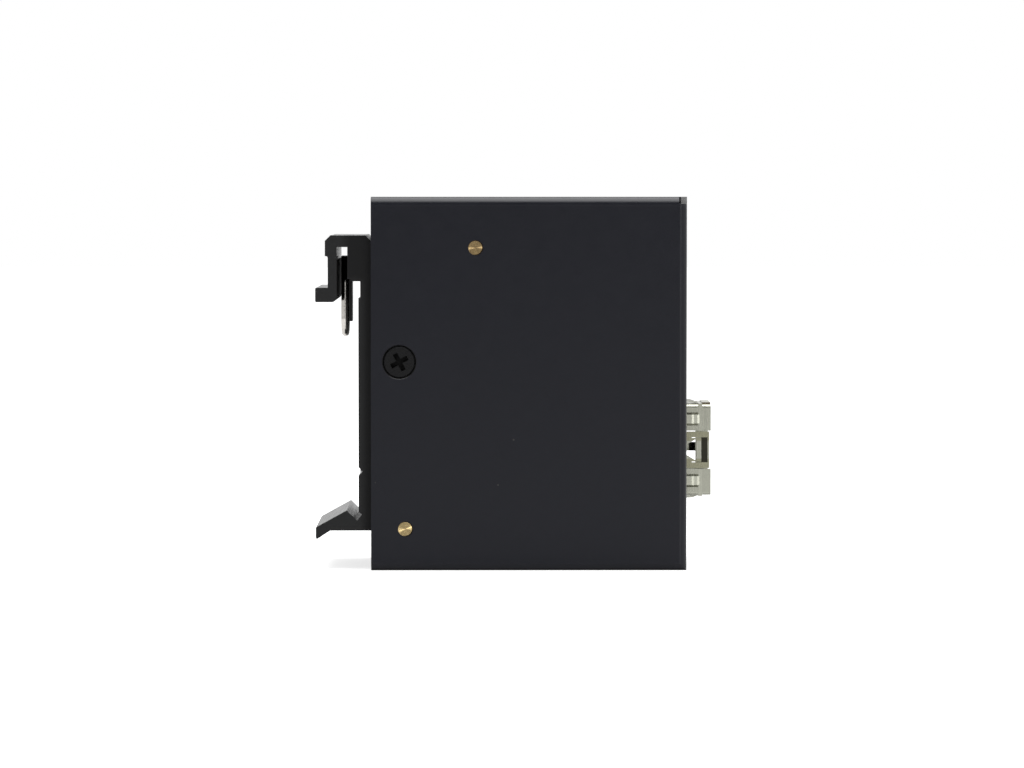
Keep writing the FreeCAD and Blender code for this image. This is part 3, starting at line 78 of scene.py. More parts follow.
class ShaderSheet:
    """A material's node tree, with short calls for the nodes that the finishes share."""

    def __init__(self, name: str) -> None:
        """Starts a material that has one Principled shader and nothing else.

        Args:
            name: Name of the material.
        """
        self.material = bpy.data.materials.new(name)
        self.material.use_nodes = True
        self.tree = self.material.node_tree
        self.tree.nodes.clear()
        self.output = self.add("ShaderNodeOutputMaterial")
        self.shader = self.add("ShaderNodeBsdfPrincipled")
        self.link(self.shader.outputs["BSDF"], self.output.inputs["Surface"])
        self.place: Socket = self.add("ShaderNodeTexCoord").outputs["Object"]

    def add(self, kind: str) -> bpy.types.Node:
        """Adds one node of a kind."""
        return self.tree.nodes.new(kind)

    def link(self, source: Socket, target: Socket) -> None:
        """Joins an output to an input."""
        self.tree.links.new(source, target)

    def feed(self, target: Socket, value: "Socket | float") -> None:
        """Gives an input a linked socket or a plain number.

        Args:
            target: Input socket.
            value: Output socket to link, or number to set.
        """
        if isinstance(value, bpy.types.NodeSocket):
            self.link(value, target)
        else:
            target.default_value = value

    def set(self, name: str, value: "float | Colour") -> None:
        """Sets one of the shader's own sockets to a uniform value.

        Args:
            name: Socket name on the shader.
            value: Number, or colour in linear light.
        """
        if isinstance(value, tuple):
            value = (*value, 1.0)
        self.shader.inputs[name].default_value = value

    def to_shader(self, name: str, source: Socket) -> None:
        """Links an output to one of the shader's sockets."""
        self.link(source, self.shader.inputs[name])

    def stretched(self, factors: Point, origin: Point = (0.0, 0.0, 0.0)) -> Socket:
        """Object coordinates about an origin, scaled along each axis.

        Args:
            factors: Scale along X, Y and Z.
            origin: Point that becomes zero.

        Returns:
            The vector output.
        """
        node = self.add("ShaderNodeMapping")
        node.vector_type = "POINT"
        node.inputs["Scale"].default_value = factors
        node.inputs["Location"].default_value = tuple(-o * f for o, f in zip(origin, factors))
        self.link(self.place, node.inputs["Vector"])
        return node.outputs["Vector"]

    def noise(self, scale: float, detail: float = 2.0, at: Optional[Socket] = None) -> Socket:
        """Smooth noise from 0 to 1.

        Args:
            scale: Cells in each metre.
            detail: Number of finer octaves.
            at: Vector to read, or none for Object coordinates.

        Returns:
            The factor output.
        """
        node = self.add("ShaderNodeTexNoise")
        node.inputs["Scale"].default_value = scale
        node.inputs["Detail"].default_value = detail
        self.link(at or self.place, node.inputs["Vector"])
        return node.outputs["Fac"]

    def specks(self, scale: float, size: float, odds: float) -> Socket:
        """A mask of round specks on a few of many scattered points.

        Args:
            scale: Points along each metre.
            size: Radius of a speck, as a share of the points' spacing.
            odds: Random number from 0 to 1 above which a point has a speck.

        Returns:
            The mask.
        """
        points = self.add("ShaderNodeTexVoronoi")
        points.inputs["Scale"].default_value = scale
        self.link(self.place, points.inputs["Vector"])
        draw = self.add("ShaderNodeSeparateColor")
        self.link(points.outputs["Color"], draw.inputs["Color"])
        near = self.math("LESS_THAN", points.outputs["Distance"], size)
        chosen = self.math("GREATER_THAN", draw.outputs["Red"], odds)
        return self.math("MULTIPLY", near, chosen)

    def math(self, operation: str, first: "Socket | float", second: "Socket | float" = 0.0) -> Socket:
        """One arithmetic step.

        Args:
            operation: Name of the operation.
            first: First operand.
            second: Second operand, where the operation has one.

        Returns:
            The value output.
        """
        node = self.add("ShaderNodeMath")
        node.operation = operation
        self.feed(node.inputs[0], first)
        self.feed(node.inputs[1], second)
        return node.outputs[0]

    def span(self, source: Socket, low: float, high: float,
             to_low: float = 0.0, to_high: float = 1.0) -> Socket:
        """Maps one range of a value to another and clamps it.

        Args:
            source: Value to map.
            low: Start of its range.
            high: End of its range.
            to_low: Result at the start.
            to_high: Result at the end.

        Returns:
            The mapped value.
        """
        node = self.add("ShaderNodeMapRange")
        limits = {"From Min": low, "From Max": high, "To Min": to_low, "To Max": to_high}
        for name, number in limits.items():
            node.inputs[name].default_value = number
        self.link(source, node.inputs["Value"])
        return node.outputs["Result"]

    def about(self, noise: Socket, middle: float, spread: float) -> Socket:
        """A value that a noise moves about its middle.

        Args:
            noise: Noise from 0 to 1.
            middle: Middle of the value.
            spread: How far it goes to either side.

        Returns:
            The value output.
        """
        return self.span(noise, NOISE_LOW, NOISE_HIGH, middle - spread, middle + spread)

    def blend(self, factor: Socket, first: "Socket | Colour", second: "Socket | Colour") -> Socket:
        """A colour between two colours.

        Args:
            factor: 0 for the first, 1 for the second.
            first: Colour or colour output.
            second: Colour or colour output.

        Returns:
            The colour output.
        """
        node = self.add("ShaderNodeMix")
        node.data_type = "RGBA"
        self.link(factor, node.inputs["Factor"])
        for name, colour in (("A", first), ("B", second)):
            target = next(s for s in node.inputs if s.name == name and s.type == "RGBA")
            if isinstance(colour, tuple):
                target.default_value = (*colour, 1.0)
            else:
                self.link(colour, target)
        return next(s for s in node.outputs if s.type == "RGBA")

    def axis(self, letter: str) -> Socket:
        """One Object coordinate, in metres."""
        node = self.add("ShaderNodeSeparateXYZ")
        self.link(self.place, node.inputs["Vector"])
        return node.outputs[letter]

    def inside(self, box: Box, edge: float, share: float = 1.0) -> Socket:
        """A mask that is a share of 1 inside a box of Object coordinates and fades to 0 outside.

        Args:
            box: Lowest and highest corner, in millimetres.
            edge: Width of the fade, in millimetres.
            share: Value inside the box.

        Returns:
            The mask.
        """
        mask: "Socket | float" = share
        for letter, start, end in zip("XYZ", *box):
            coordinate = self.axis(letter)
            above = self.span(coordinate, (start - edge) * MM, (start + edge) * MM)
            below = self.span(coordinate, (end - edge) * MM, (end + edge) * MM, 1.0, 0.0)
            mask = self.math("MULTIPLY", self.math("MULTIPLY", above, below), mask)
        return mask

    def patched(self, colour: Socket, patches: "tuple[Patch, ...]") -> Socket:
        """Lays patches over a colour, one after another.

        Args:
            colour: Colour output underneath.
            patches: Boxes with their own colours.

        Returns:
            The colour output.
        """
        for patch in patches:
            colour = self.blend(self.inside(patch.box, patch.edge, patch.share), colour, patch.colour)
        return colour

    def roughened(self, roughness: Socket, patches: "tuple[Patch, ...]") -> Socket:
        """Gives the patches that have a roughness of their own that roughness.

        Args:
            roughness: Roughness output underneath.
            patches: Boxes, with or without their own roughness.

        Returns:
            The roughness output.
        """
        for patch in patches:
            if patch.roughness is not None:
                mask = self.inside(patch.box, patch.edge, patch.share)
                kept = self.math("MULTIPLY", roughness, self.math("SUBTRACT", 1.0, mask))
                roughness = self.math("ADD", kept, self.math("MULTIPLY", mask, patch.roughness))
        return roughness

    def relief(self, height: Socket, depth: float, strength: float = 1.0) -> None:
        """Bumps the surface, after any bump that it has already.

        Args:
            height: Height from 0 to 1.
            depth: Depth in metres that a height of 1 stands for.
            strength: Share of the bump that is used.
        """
        node = self.add("ShaderNodeBump")
        node.inputs["Strength"].default_value = strength
        node.inputs["Distance"].default_value = depth
        self.link(height, node.inputs["Height"])
        earlier = self.shader.inputs["Normal"].links
        if earlier:
            self.link(earlier[0].from_socket, node.inputs["Normal"])
        self.to_shader("Normal", node.outputs["Normal"])


@dataclass(frozen=True)
class Patch:
    """A box of a surface, in millimetres, with a colour of its own and a soft edge."""

    box: Box
    colour: Colour
    share: float = 1.0
    edge: float = 0.05
    roughness: Optional[float] = None


@dataclass(frozen=True)
class Finish:
    """What every finish has: a name and a base colour in linear light."""

    name: str
    colour: Colour

    def material(self) -> bpy.types.Material:
        """Makes the material of this finish.

        Returns:
            The new material.
        """
        sheet = ShaderSheet(self.name)
        self.paint(sheet)
        return sheet.material

    def paint(self, sheet: ShaderSheet) -> None:
        """Fills the sheet with this finish's nodes."""
        raise NotImplementedError


@dataclass(frozen=True)
class SatinPaint(Finish):
    """Satin powder paint on sheet steel, with dust specks and a bend polished by handling."""

    roughness: float = 0.34
    spread: float = 0.03
    spread_scale: float = 360.0
    grain: float = 5200.0
    grain_depth: float = 0.006 * MM
    drift: float = 45.0
    tone: float = 0.12
    speck_scale: float = 420.0
    speck_size: float = 0.085
    speck_odds: float = 0.965
    speck_colour: Colour = (0.030, 0.029, 0.028)
    patches: tuple[Patch, ...] = ()
    specular: float = 0.5
    polished: Optional[Box] = None
    polish: float = 0.28
    polish_roughness: float = 0.32
    polish_edge: float = 0.3

    def paint(self, sheet: ShaderSheet) -> None:
        """Colour drifts slowly, a few grains of dust lie on it, and the polished bend is coated."""
        darker = scaled(self.colour, 1 - self.tone)
        lighter = scaled(self.colour, 1 + self.tone)
        colour = sheet.blend(sheet.noise(self.drift, detail=3.0), darker, lighter)
        dust = sheet.specks(self.speck_scale, self.speck_size, self.speck_odds)
        colour = sheet.blend(dust, colour, self.speck_colour)
        sheet.to_shader("Base Color", sheet.patched(colour, self.patches))
        cloud = sheet.noise(self.spread_scale)
        sheet.to_shader("Roughness", sheet.about(cloud, self.roughness, self.spread))
        sheet.set("Specular IOR Level", self.specular)
        if self.polished is not None:
            sheet.set("Coat Roughness", self.polish_roughness)
            sheet.to_shader("Coat Weight", sheet.inside(self.polished, self.polish_edge, self.polish))
        sheet.relief(sheet.noise(self.grain, detail=1.0), self.grain_depth)


@dataclass(frozen=True)
class DrawnMetal(Finish):
    """Metal with a grain: extruded, rolled or brushed."""

    metallic: float = 1.0
    roughness: float = 0.3
    spread: float = 0.06
    grain: Grain = Grain.NONE
    line_scale: float = 160.0
    line_depth: float = 0.004 * MM
    tone: float = 0.12
    patches: tuple[Patch, ...] = ()
    specular: float = 0.5
    sawn_beyond: Optional[float] = None
    sawn_roughness: float = 0.5

    def paint(self, sheet: ShaderSheet) -> None:
        """Lines follow the grain in colour, roughness and relief; ends across Y can be sawn."""
        lines = sheet.noise(self.line_scale, detail=4.0, at=sheet.stretched(self.grain.value))
        darker = scaled(self.colour, 1 - self.tone)
        lighter = scaled(self.colour, 1 + self.tone)
        colour = sheet.blend(sheet.span(lines, NOISE_LOW, NOISE_HIGH), darker, lighter)
        sheet.to_shader("Base Color", sheet.patched(colour, self.patches))
        roughness = sheet.about(lines, self.roughness, self.spread)
        if self.sawn_beyond is not None:
            beside = sheet.math("ABSOLUTE", sheet.axis("Y"))
            sawn = sheet.math("GREATER_THAN", beside, self.sawn_beyond * MM)
            extra = sheet.math("MULTIPLY", sawn, self.sawn_roughness - self.roughness)
            roughness = sheet.math("ADD", roughness, extra)
        sheet.to_shader("Roughness", sheet.roughened(roughness, self.patches))
        sheet.set("Metallic", self.metallic)
        sheet.set("Specular IOR Level", self.specular)
        sheet.relief(lines, self.line_depth)


@dataclass(frozen=True)
class TurnedMetal(Finish):
    """A face that was turned on a lathe, with rings about an axis along Y and a painted shadow round its
    edge, thicker on one side.
    """

    centre: Point = (0.0, 0.0, 0.0)
    ring_pitch: float = 0.16 * MM
    ring_slope: float = 0.215
    # Painted shadow: outside a circle about a centre moved by the shift, the face turns dark, so the shadow
    # is thicker on the +X side.
    rim_radius: float = 1.08 * MM
    rim_edge: float = 0.03 * MM
    rim_shift: Point = (-0.09 * MM, 0.0, 0.02 * MM)
    rim_painted_shadow_colour: Colour = (0.02, 0.015, 0.01)
    roughness: float = 0.12
    tone: float = 0.18
    stain_scale: float = 900.0
    stain_low: float = 0.35
    stain_high: float = 0.65
    stain_roughness: float = 0.05

    def distance(self, sheet: ShaderSheet, centre: Point) -> Socket:
        """Distance from an axis along Y through a centre.

        Args:
            sheet: Sheet of the material.
            centre: A point of the axis.

        Returns:
            The distance output, in metres.
        """
        length = sheet.add("ShaderNodeVectorMath")
        length.operation = "LENGTH"
        sheet.link(sheet.stretched((1.0, 0.0, 1.0), centre), length.inputs[0])
        return length.outputs["Value"]

    def paint(self, sheet: ShaderSheet) -> None:
        """Rings about the turning axis bend the light as tool marks do, stains dull it, and a painted shadow
        darkens its edge.
        """
        radius = self.distance(sheet, self.centre)
        half = self.ring_pitch / 2
        height = sheet.span(sheet.math("PINGPONG", radius, half), 0.0, half)
        cloud = sheet.noise(self.stain_scale, detail=3.0)
        clean = sheet.span(cloud, self.stain_low, self.stain_high)
        face = sheet.blend(clean, scaled(self.colour, 1 - self.tone), self.colour)
        # Painted shadow round the face's edge, about a centre moved off the axis.
        bright = tuple(place + shift for place, shift in zip(self.centre, self.rim_shift))
        from_bright = self.distance(sheet, bright)
        rim_shadow_mask = sheet.span(from_bright, self.rim_radius - self.rim_edge, self.rim_radius + self.rim_edge)
        sheet.to_shader("Base Color", sheet.blend(rim_shadow_mask, face, self.rim_painted_shadow_colour))
        dull = self.roughness + self.stain_roughness
        sheet.to_shader("Roughness", sheet.span(clean, 0.0, 1.0, dull, self.roughness))
        sheet.set("Metallic", 1.0)
        sheet.relief(height, self.ring_slope * half)


@dataclass(frozen=True)
class MouldedPlastic(Finish):
    """Moulded plastic with a fine spark texture."""

    roughness: float = 0.45
    spread: float = 0.05
    spread_scale: float = 1500.0
    tone: float = 0.1
    flow_scale: float = 300.0
    texture_scale: float = 9000.0
    texture_depth: float = 0.004 * MM

    def paint(self, sheet: ShaderSheet) -> None:
        """Slight flow marks in the colour and a fine texture in the relief."""
        flow = sheet.noise(self.flow_scale, detail=3.0)
        sheet.to_shader("Base Color", sheet.blend(flow, scaled(self.colour, 1 - self.tone), self.colour))
        cloud = sheet.noise(self.spread_scale)
        sheet.to_shader("Roughness", sheet.about(cloud, self.roughness, self.spread))
        sheet.relief(sheet.noise(self.texture_scale), self.texture_depth)


@dataclass(frozen=True)
class ClearPlastic(Finish):
    """Clear acrylic or lamp resin."""

    roughness: float = 0.12
    spread: float = 0.04
    spread_scale: float = 2000.0
    tone: float = 0.07
    flow_scale: float = 700.0
    clearness: float = 0.6
    refraction: float = 1.49

    def paint(self, sheet: ShaderSheet) -> None:
        """Clear, with slight flow marks."""
        flow = sheet.noise(self.flow_scale)
        sheet.to_shader("Base Color", sheet.blend(flow, scaled(self.colour, 1 - self.tone), self.colour))
        cloud = sheet.noise(self.spread_scale)
        sheet.to_shader("Roughness", sheet.about(cloud, self.roughness, self.spread))
        sheet.set("Transmission Weight", self.clearness)
        sheet.set("IOR", self.refraction)


@dataclass(frozen=True)
class BoardLaminate(Finish):
    """Solder mask over copper tracks and plated holes."""

    track_pitch: float = 0.62 * MM
    track_share: float = 0.42
    track_length: float = 5.3 * MM
    track_odds: float = 0.45
    track_height: float = 0.02 * MM
    track_colour: Colour = (0.045, 0.21, 0.085)
    lane_shift: float = 0.37
    hole_scale: float = 330.0
    hole_size: float = 0.09
    hole_odds: float = 0.72
    hole_colour: Colour = (0.62, 0.50, 0.26)
    roughness: float = 0.32
    spread: float = 0.05
    spread_scale: float = 4000.0

    def tracks(self, sheet: ShaderSheet, across: str, along: str) -> Socket:
        """Parallel tracks whose lengths are drawn by lane.

        Args:
            sheet: Sheet of the material.
            across: Axis across the lanes.
            along: Axis along the lanes.

        Returns:
            A mask that is 1 on the tracks.
        """
        lane = sheet.math("DIVIDE", sheet.axis(across), self.track_pitch)
        number = sheet.math("FLOOR", lane)
        shift = sheet.math("MULTIPLY", number, self.lane_shift)
        run = sheet.math("ADD", sheet.math("DIVIDE", sheet.axis(along), self.track_length), shift)
        key = sheet.add("ShaderNodeCombineXYZ")
        sheet.link(number, key.inputs["X"])
        sheet.link(sheet.math("FLOOR", run), key.inputs["Y"])
        draw = sheet.add("ShaderNodeTexWhiteNoise")
        sheet.link(key.outputs["Vector"], draw.inputs["Vector"])
        stripe = sheet.math("LESS_THAN", sheet.math("FRACT", lane), self.track_share)
        laid = sheet.math("LESS_THAN", draw.outputs["Value"], self.track_odds)
        return sheet.math("MULTIPLY", stripe, laid)

    def paint(self, sheet: ShaderSheet) -> None:
        """Tracks show through the mask as paler, raised lines, with plated holes between them."""
        copper = sheet.math("MAXIMUM", self.tracks(sheet, "Z", "X"), self.tracks(sheet, "X", "Z"))
        colour = sheet.blend(copper, self.colour, self.track_colour)
        holes = sheet.specks(self.hole_scale, self.hole_size, self.hole_odds)
        sheet.to_shader("Base Color", sheet.blend(holes, colour, self.hole_colour))
        cloud = sheet.noise(self.spread_scale)
        sheet.to_shader("Roughness", sheet.about(cloud, self.roughness, self.spread))
        sheet.relief(copper, self.track_height)


@dataclass(frozen=True)
class Row:
    """A straight row of copies: its start, its step, how many, and how each copy is turned."""

    start: Point
    step: Point
    count: int
    turn: Point = (0.0, 0.0, 0.0)
    quarter_seed: Optional[int] = None


class RowTree:
    """A Geometry Nodes tree that lays copies of one shape in straight rows."""

    def __init__(self, name: str, rows: Sequence[Row], finish: bpy.types.Material) -> None:
        """Builds the tree, with named inputs for the size of every row.

        Args:
            name: Name of the tree and of the piece that it grows.
            rows: The rows, in millimetres.
            finish: Material that the tree sets at its end.
        """
        self.name = name
        self.inputs: dict[str, object] = {}
        self.tree = bpy.data.node_groups.new(name, "GeometryNodeTree")
        self.tree.interface.new_socket("Geometry", in_out="INPUT", socket_type="NodeSocketGeometry")
        self.tree.interface.new_socket("Geometry", in_out="OUTPUT", socket_type="NodeSocketGeometry")
        self.entry = self.add("NodeGroupInput")
        joined = self.add("GeometryNodeJoinGeometry")
        for number, row in enumerate(rows, start=1):
            self.link(self.copies(f"Row {number}", row), joined.inputs["Geometry"])
        real = self.add("GeometryNodeRealizeInstances")
        painted = self.add("GeometryNodeSetMaterial")
        painted.inputs["Material"].default_value = finish
        leave = self.add("NodeGroupOutput")
        self.link(joined.outputs["Geometry"], real.inputs["Geometry"])
        self.link(real.outputs["Geometry"], painted.inputs["Geometry"])
        self.link(painted.outputs["Geometry"], leave.inputs["Geometry"])

    def add(self, kind: str) -> bpy.types.Node:
        """Adds one node of a kind."""
        return self.tree.nodes.new(kind)

    def link(self, source: Socket, target: Socket) -> None:
        """Joins an output to an input."""
        self.tree.links.new(source, target)

    def size(self, name: str, kind: str, value: "int | Point") -> Socket:
        """Makes a named input of the tree and notes the value that the piece gets.

        Args:
            name: Name of the input.
            kind: Type of its socket.
            value: Value for the piece.

        Returns:
            The input's socket inside the tree.
        """
        item = self.tree.interface.new_socket(name, in_out="INPUT", socket_type=kind)
        self.inputs[item.identifier] = value
        return next(s for s in self.entry.outputs if s.identifier == item.identifier)

    def copies(self, label: str, row: Row) -> Socket:
        """Lays one row.

        Args:
            label: Start of the names of the row's inputs.
            row: The row.

        Returns:
            The instances.
        """
        line = self.add("GeometryNodeMeshLine")
        line.mode = "OFFSET"
        start = tuple(part * MM for part in row.start)
        step = tuple(part * MM for part in row.step)
        self.link(self.size(f"{label} count", "NodeSocketInt", row.count), line.inputs["Count"])
        self.link(self.size(f"{label} start", "NodeSocketVector", start), line.inputs["Start Location"])
        self.link(self.size(f"{label} step", "NodeSocketVector", step), line.inputs["Offset"])
        laid = self.add("GeometryNodeInstanceOnPoints")
        self.link(line.outputs["Mesh"], laid.inputs["Points"])
        self.link(self.entry.outputs["Geometry"], laid.inputs["Instance"])
        if row.quarter_seed is None:
            laid.inputs["Rotation"].default_value = row.turn
        else:
            seed = self.size(f"{label} seed", "NodeSocketInt", row.quarter_seed)
            self.link(self.quarter_turns(seed), laid.inputs["Rotation"])
        return laid.outputs["Instances"]

    def quarter_turns(self, seed: Socket) -> Socket:
        """Turns each copy by nothing or by a quarter about Y, as its seed falls.

        Args:
            seed: Seed of the draw.

        Returns:
            The rotation output.
        """
        draw = self.add("FunctionNodeRandomValue")
        draw.data_type = "INT"
        for identifier, number in (("Min_002", 0), ("Max_002", 1)):
            next(s for s in draw.inputs if s.identifier == identifier).default_value = number
        self.link(seed, draw.inputs["Seed"])
        angle = self.add("ShaderNodeMath")
        angle.operation = "MULTIPLY"
        angle.inputs[1].default_value = math.pi / 2
        self.link(next(s for s in draw.outputs if s.identifier == "Value_002"), angle.inputs[0])
        euler = self.add("ShaderNodeCombineXYZ")
        self.link(angle.outputs[0], euler.inputs["Y"])
        turn = self.add("FunctionNodeEulerToRotation")
        self.link(euler.outputs["Vector"], turn.inputs["Euler"])
        return turn.outputs["Rotation"]

    def grow(self, shape: bpy.types.Mesh) -> bpy.types.Object:
        """Runs the tree on a shape and keeps the result as a plain piece on the body.

        Args:
            shape: Mesh of one copy, about its own origin.

        Returns:
            The piece.
        """
        seed = bpy.data.objects.new(f"{self.name}_seed", shape)
        bpy.context.scene.collection.objects.link(seed)
        modifier = seed.modifiers.new("rows", "NODES")
        modifier.node_group = self.tree
        for identifier, value in self.inputs.items():
            modifier[identifier] = value
        grown = seed.evaluated_get(bpy.context.evaluated_depsgraph_get())
        mesh = bpy.data.meshes.new_from_object(grown)
        mesh.name = self.name
        bpy.data.objects.remove(seed)
        piece = bpy.data.objects.new(self.name, mesh)
        bpy.context.scene.collection.objects.link(piece)
        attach(piece, BODY)
        LOG.info("grew %s with %d faces", self.name, len(mesh.polygons))
        return piece


def strip_mesh(name: str, path: StripPath, width: float, thickness: float) -> bpy.types.Mesh:
    """A bent strip of sheet, with its path in X and Y and its width along Z.

    Args:
        name: Name of the mesh.
        path: Middle line of the strip, in millimetres.
        width: Width in millimetres.
        thickness: Thickness in millimetres.

    Returns:
        The closed mesh.
    """
    points = [Vector(point) for point in path]
    runs = [(after - before).normalized() for before, after in zip(points, points[1:])]
    work = bmesh.new()
    rings = []
    for number, point in enumerate(points):
        before = runs[max(number - 1, 0)]
        after = runs[min(number, len(runs) - 1)]
        along = (before + after).normalized()
        side = Vector((-along.y, along.x)) * (thickness / 2 / along.dot(after))
        near = (point + side) * MM
        far = (point - side) * MM
        half = width / 2 * MM
        corners = ((*near, -half), (*near, half), (*far, half), (*far, -half))
        rings.append([work.verts.new(corner) for corner in corners])
    for lower, upper in zip(rings, rings[1:]):
        for corner in range(4):
            following = (corner + 1) % 4
            work.faces.new((lower[corner], lower[following], upper[following], upper[corner]))
    work.faces.new(rings[0])
    work.faces.new(rings[-1])
    return closed_mesh(name, work)


def block_mesh(name: str, blocks: Sequence[Box], bevel: float) -> bpy.types.Mesh:
    """Blocks with bevelled edges, in one mesh.

    Args:
        name: Name of the mesh.
        blocks: Lowest and highest corner of each block, in millimetres.
        bevel: Width of the bevels in millimetres.

    Returns:
        The closed mesh.
    """
    work = bmesh.new()
    for low, high in blocks:
        middle = (Vector(low) + Vector(high)) / 2 * MM
        extent = (Vector(high) - Vector(low)) * MM
        made = bmesh.ops.create_cube(work, size=1.0)
        bmesh.ops.scale(work, vec=extent, verts=made["verts"])
        bmesh.ops.translate(work, vec=middle, verts=made["verts"])
    bmesh.ops.bevel(work, geom=work.edges[:], offset=bevel * MM, segments=BEVEL_STEPS,
                    profile=ROUND_BEVEL, affect="EDGES")
    return closed_mesh(name, work)


def closed_mesh(name: str, work: bmesh.types.BMesh) -> bpy.types.Mesh:
    """Turns the faces outwards and hands the mesh over.

    Args:
        name: Name of the mesh.
        work: Mesh under construction, which is freed.

    Returns:
        The mesh.
    """
    bmesh.ops.recalc_face_normals(work, faces=work.faces[:])
    mesh = bpy.data.meshes.new(name)
    work.to_mesh(mesh)
    work.free()
    return mesh


def dress(node: str, finish: bpy.types.Material) -> None:
    """Gives a CAD node's object one material.

    Args:
        node: Name of the CAD node.
        finish: Material for all its slots.
    """
    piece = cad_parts[node]
    piece.data.materials.clear()
    piece.data.materials.append(finish)
    LOG.info("dressed %s in %s", node, finish.name)


@dataclass
class CaseShell:
    """The two folded shells of the case."""

    upper_bend: ClassVar[Box] = ((-24.6, -14.1, 56.7), (24.6, -12.9, 58.1))
    corner_relief: ClassVar[Patch] = Patch(((23.55, -14.1, 56.95), (24.6, -12.7, 58.1)), (0.20, 0.20, 0.20))
    # Painted shade: the panel round the screw's countersink is darkened to near black, where shade falls.
    screw_sink_painted_shade: ClassVar[Patch] = Patch(((-23.0, -13.97, 29.5), (-17.2, -12.9, 35.3)),
                                        (0.001, 0.001, 0.001), edge=0.02)
    paint: SatinPaint = SatinPaint("case_paint", (0.0030, 0.0036, 0.0080), specular=0.36,
                                   polished=upper_bend, patches=(corner_relief, screw_sink_painted_shade))

    def dress(self) -> None:
        """Paints both shells, with a polished upper bend, a pale corner relief and painted shade in the
        screw's countersink.
        """
        material = self.paint.material()
        dress("chassis", material)
        dress("cover", material)


@dataclass
class Fixings:
    """Screws, nuts and standoffs."""

    # Painted shade: the cross in the screw's head is darkened far below the head's own black.
    recess_painted_shade: ClassVar[Patch] = Patch(((-22.3, -13.8, 30.2), (-17.9, -11.0, 34.6)),
                                    (0.0002, 0.0002, 0.0002), roughness=0.7)
    screw: DrawnMetal = DrawnMetal("black_screw", (0.005, 0.005, 0.0055), metallic=0.0, roughness=0.3,
                                   line_scale=3000.0, specular=0.22, patches=(recess_painted_shade,))
    plated: DrawnMetal = DrawnMetal("plated_steel", (0.62, 0.62, 0.60), roughness=0.3, line_scale=2000.0)
    # The upper standoff's brass is darker than the lower one's: painted shade, the same brass lit and shaded
    # differently.
    brass: ClassVar[dict[str, Colour]] = {
        "standoff_upper": (0.385, 0.275, 0.135),
        "standoff_lower": (0.68, 0.52, 0.26),
    }

    def dress(self) -> None:
        """Black screws with painted shade in their recesses, zinc nuts, and brass standoffs with turned
        ends, the upper one's brass darkened as painted shade.
        """
        black = self.screw.material()
        for node in ("case_screw", "bracket_screws"):
            dress(node, black)
        zinc = self.plated.material()
        for node in ("case_nut", "bracket_nuts", "board_screws"):
            dress(node, zinc)
        for node, colour in self.brass.items():
            low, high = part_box(node)
            turned = TurnedMetal(f"{node}_brass", colour, centre=tuple((low + high) / 2))
            dress(node, turned.material())


@dataclass
class RailClip:
    """The extruded clip and its spring."""

    # Painted shade: the block and the rear plate beside the case are darker than the rest of the clip, as
    # the shade that the case casts on them.
    block: ClassVar[Patch] = Patch(((-28.6, -13.0, 45.0), (-24.0, 13.0, 53.0)),
                                   (0.0008, 0.0008, 0.0012), edge=0.8)
    rear_plate_painted_shade: ClassVar[Patch] = Patch(((-25.7, -13.0, 5.0), (-24.0, 13.0, 53.0)),
                                        (0.002, 0.002, 0.0024), edge=0.5)
    # Painted shade: the wall deep in the rail slot is darkened, and its surface made rougher.
    slot_wall_painted_shade: ClassVar[Patch] = Patch(((-30.0, -12.4, 40.5), (-29.7, 12.4, 48.3)),
                                       (0.002, 0.002, 0.002), roughness=0.95)
    # Painted shade: the spring's top, where it runs into the hook's slot, is near black.
    wire_top_painted_shade: ClassVar[Patch] = Patch(((-31.0, -4.0, 44.7), (-27.0, 4.0, 50.0)),
                                      (0.004, 0.004, 0.004), edge=0.25)
    anodised: DrawnMetal = DrawnMetal("clip_anodised", (0.0128, 0.0130, 0.0134), metallic=0.0,
                                      roughness=0.23, spread=0.03, grain=Grain.ALONG_Y, line_scale=60.0,
                                      line_depth=0.006 * MM, specular=0.25, sawn_beyond=12.4,
                                      sawn_roughness=0.42, patches=(block, rear_plate_painted_shade, slot_wall_painted_shade))
    wire: DrawnMetal = DrawnMetal("spring_wire", (0.74, 0.71, 0.67), roughness=0.08, spread=0.03,
                                  line_scale=4000.0, patches=(wire_top_painted_shade,))

    def dress(self) -> None:
        """Black anodised clip with die lines, and a bright spring; painted shade darkens the clip's block,
        rear plate and slot wall and the spring's top.
        """
        dress("din_bracket", self.anodised.material())
        dress("rail_spring", self.wire.material())


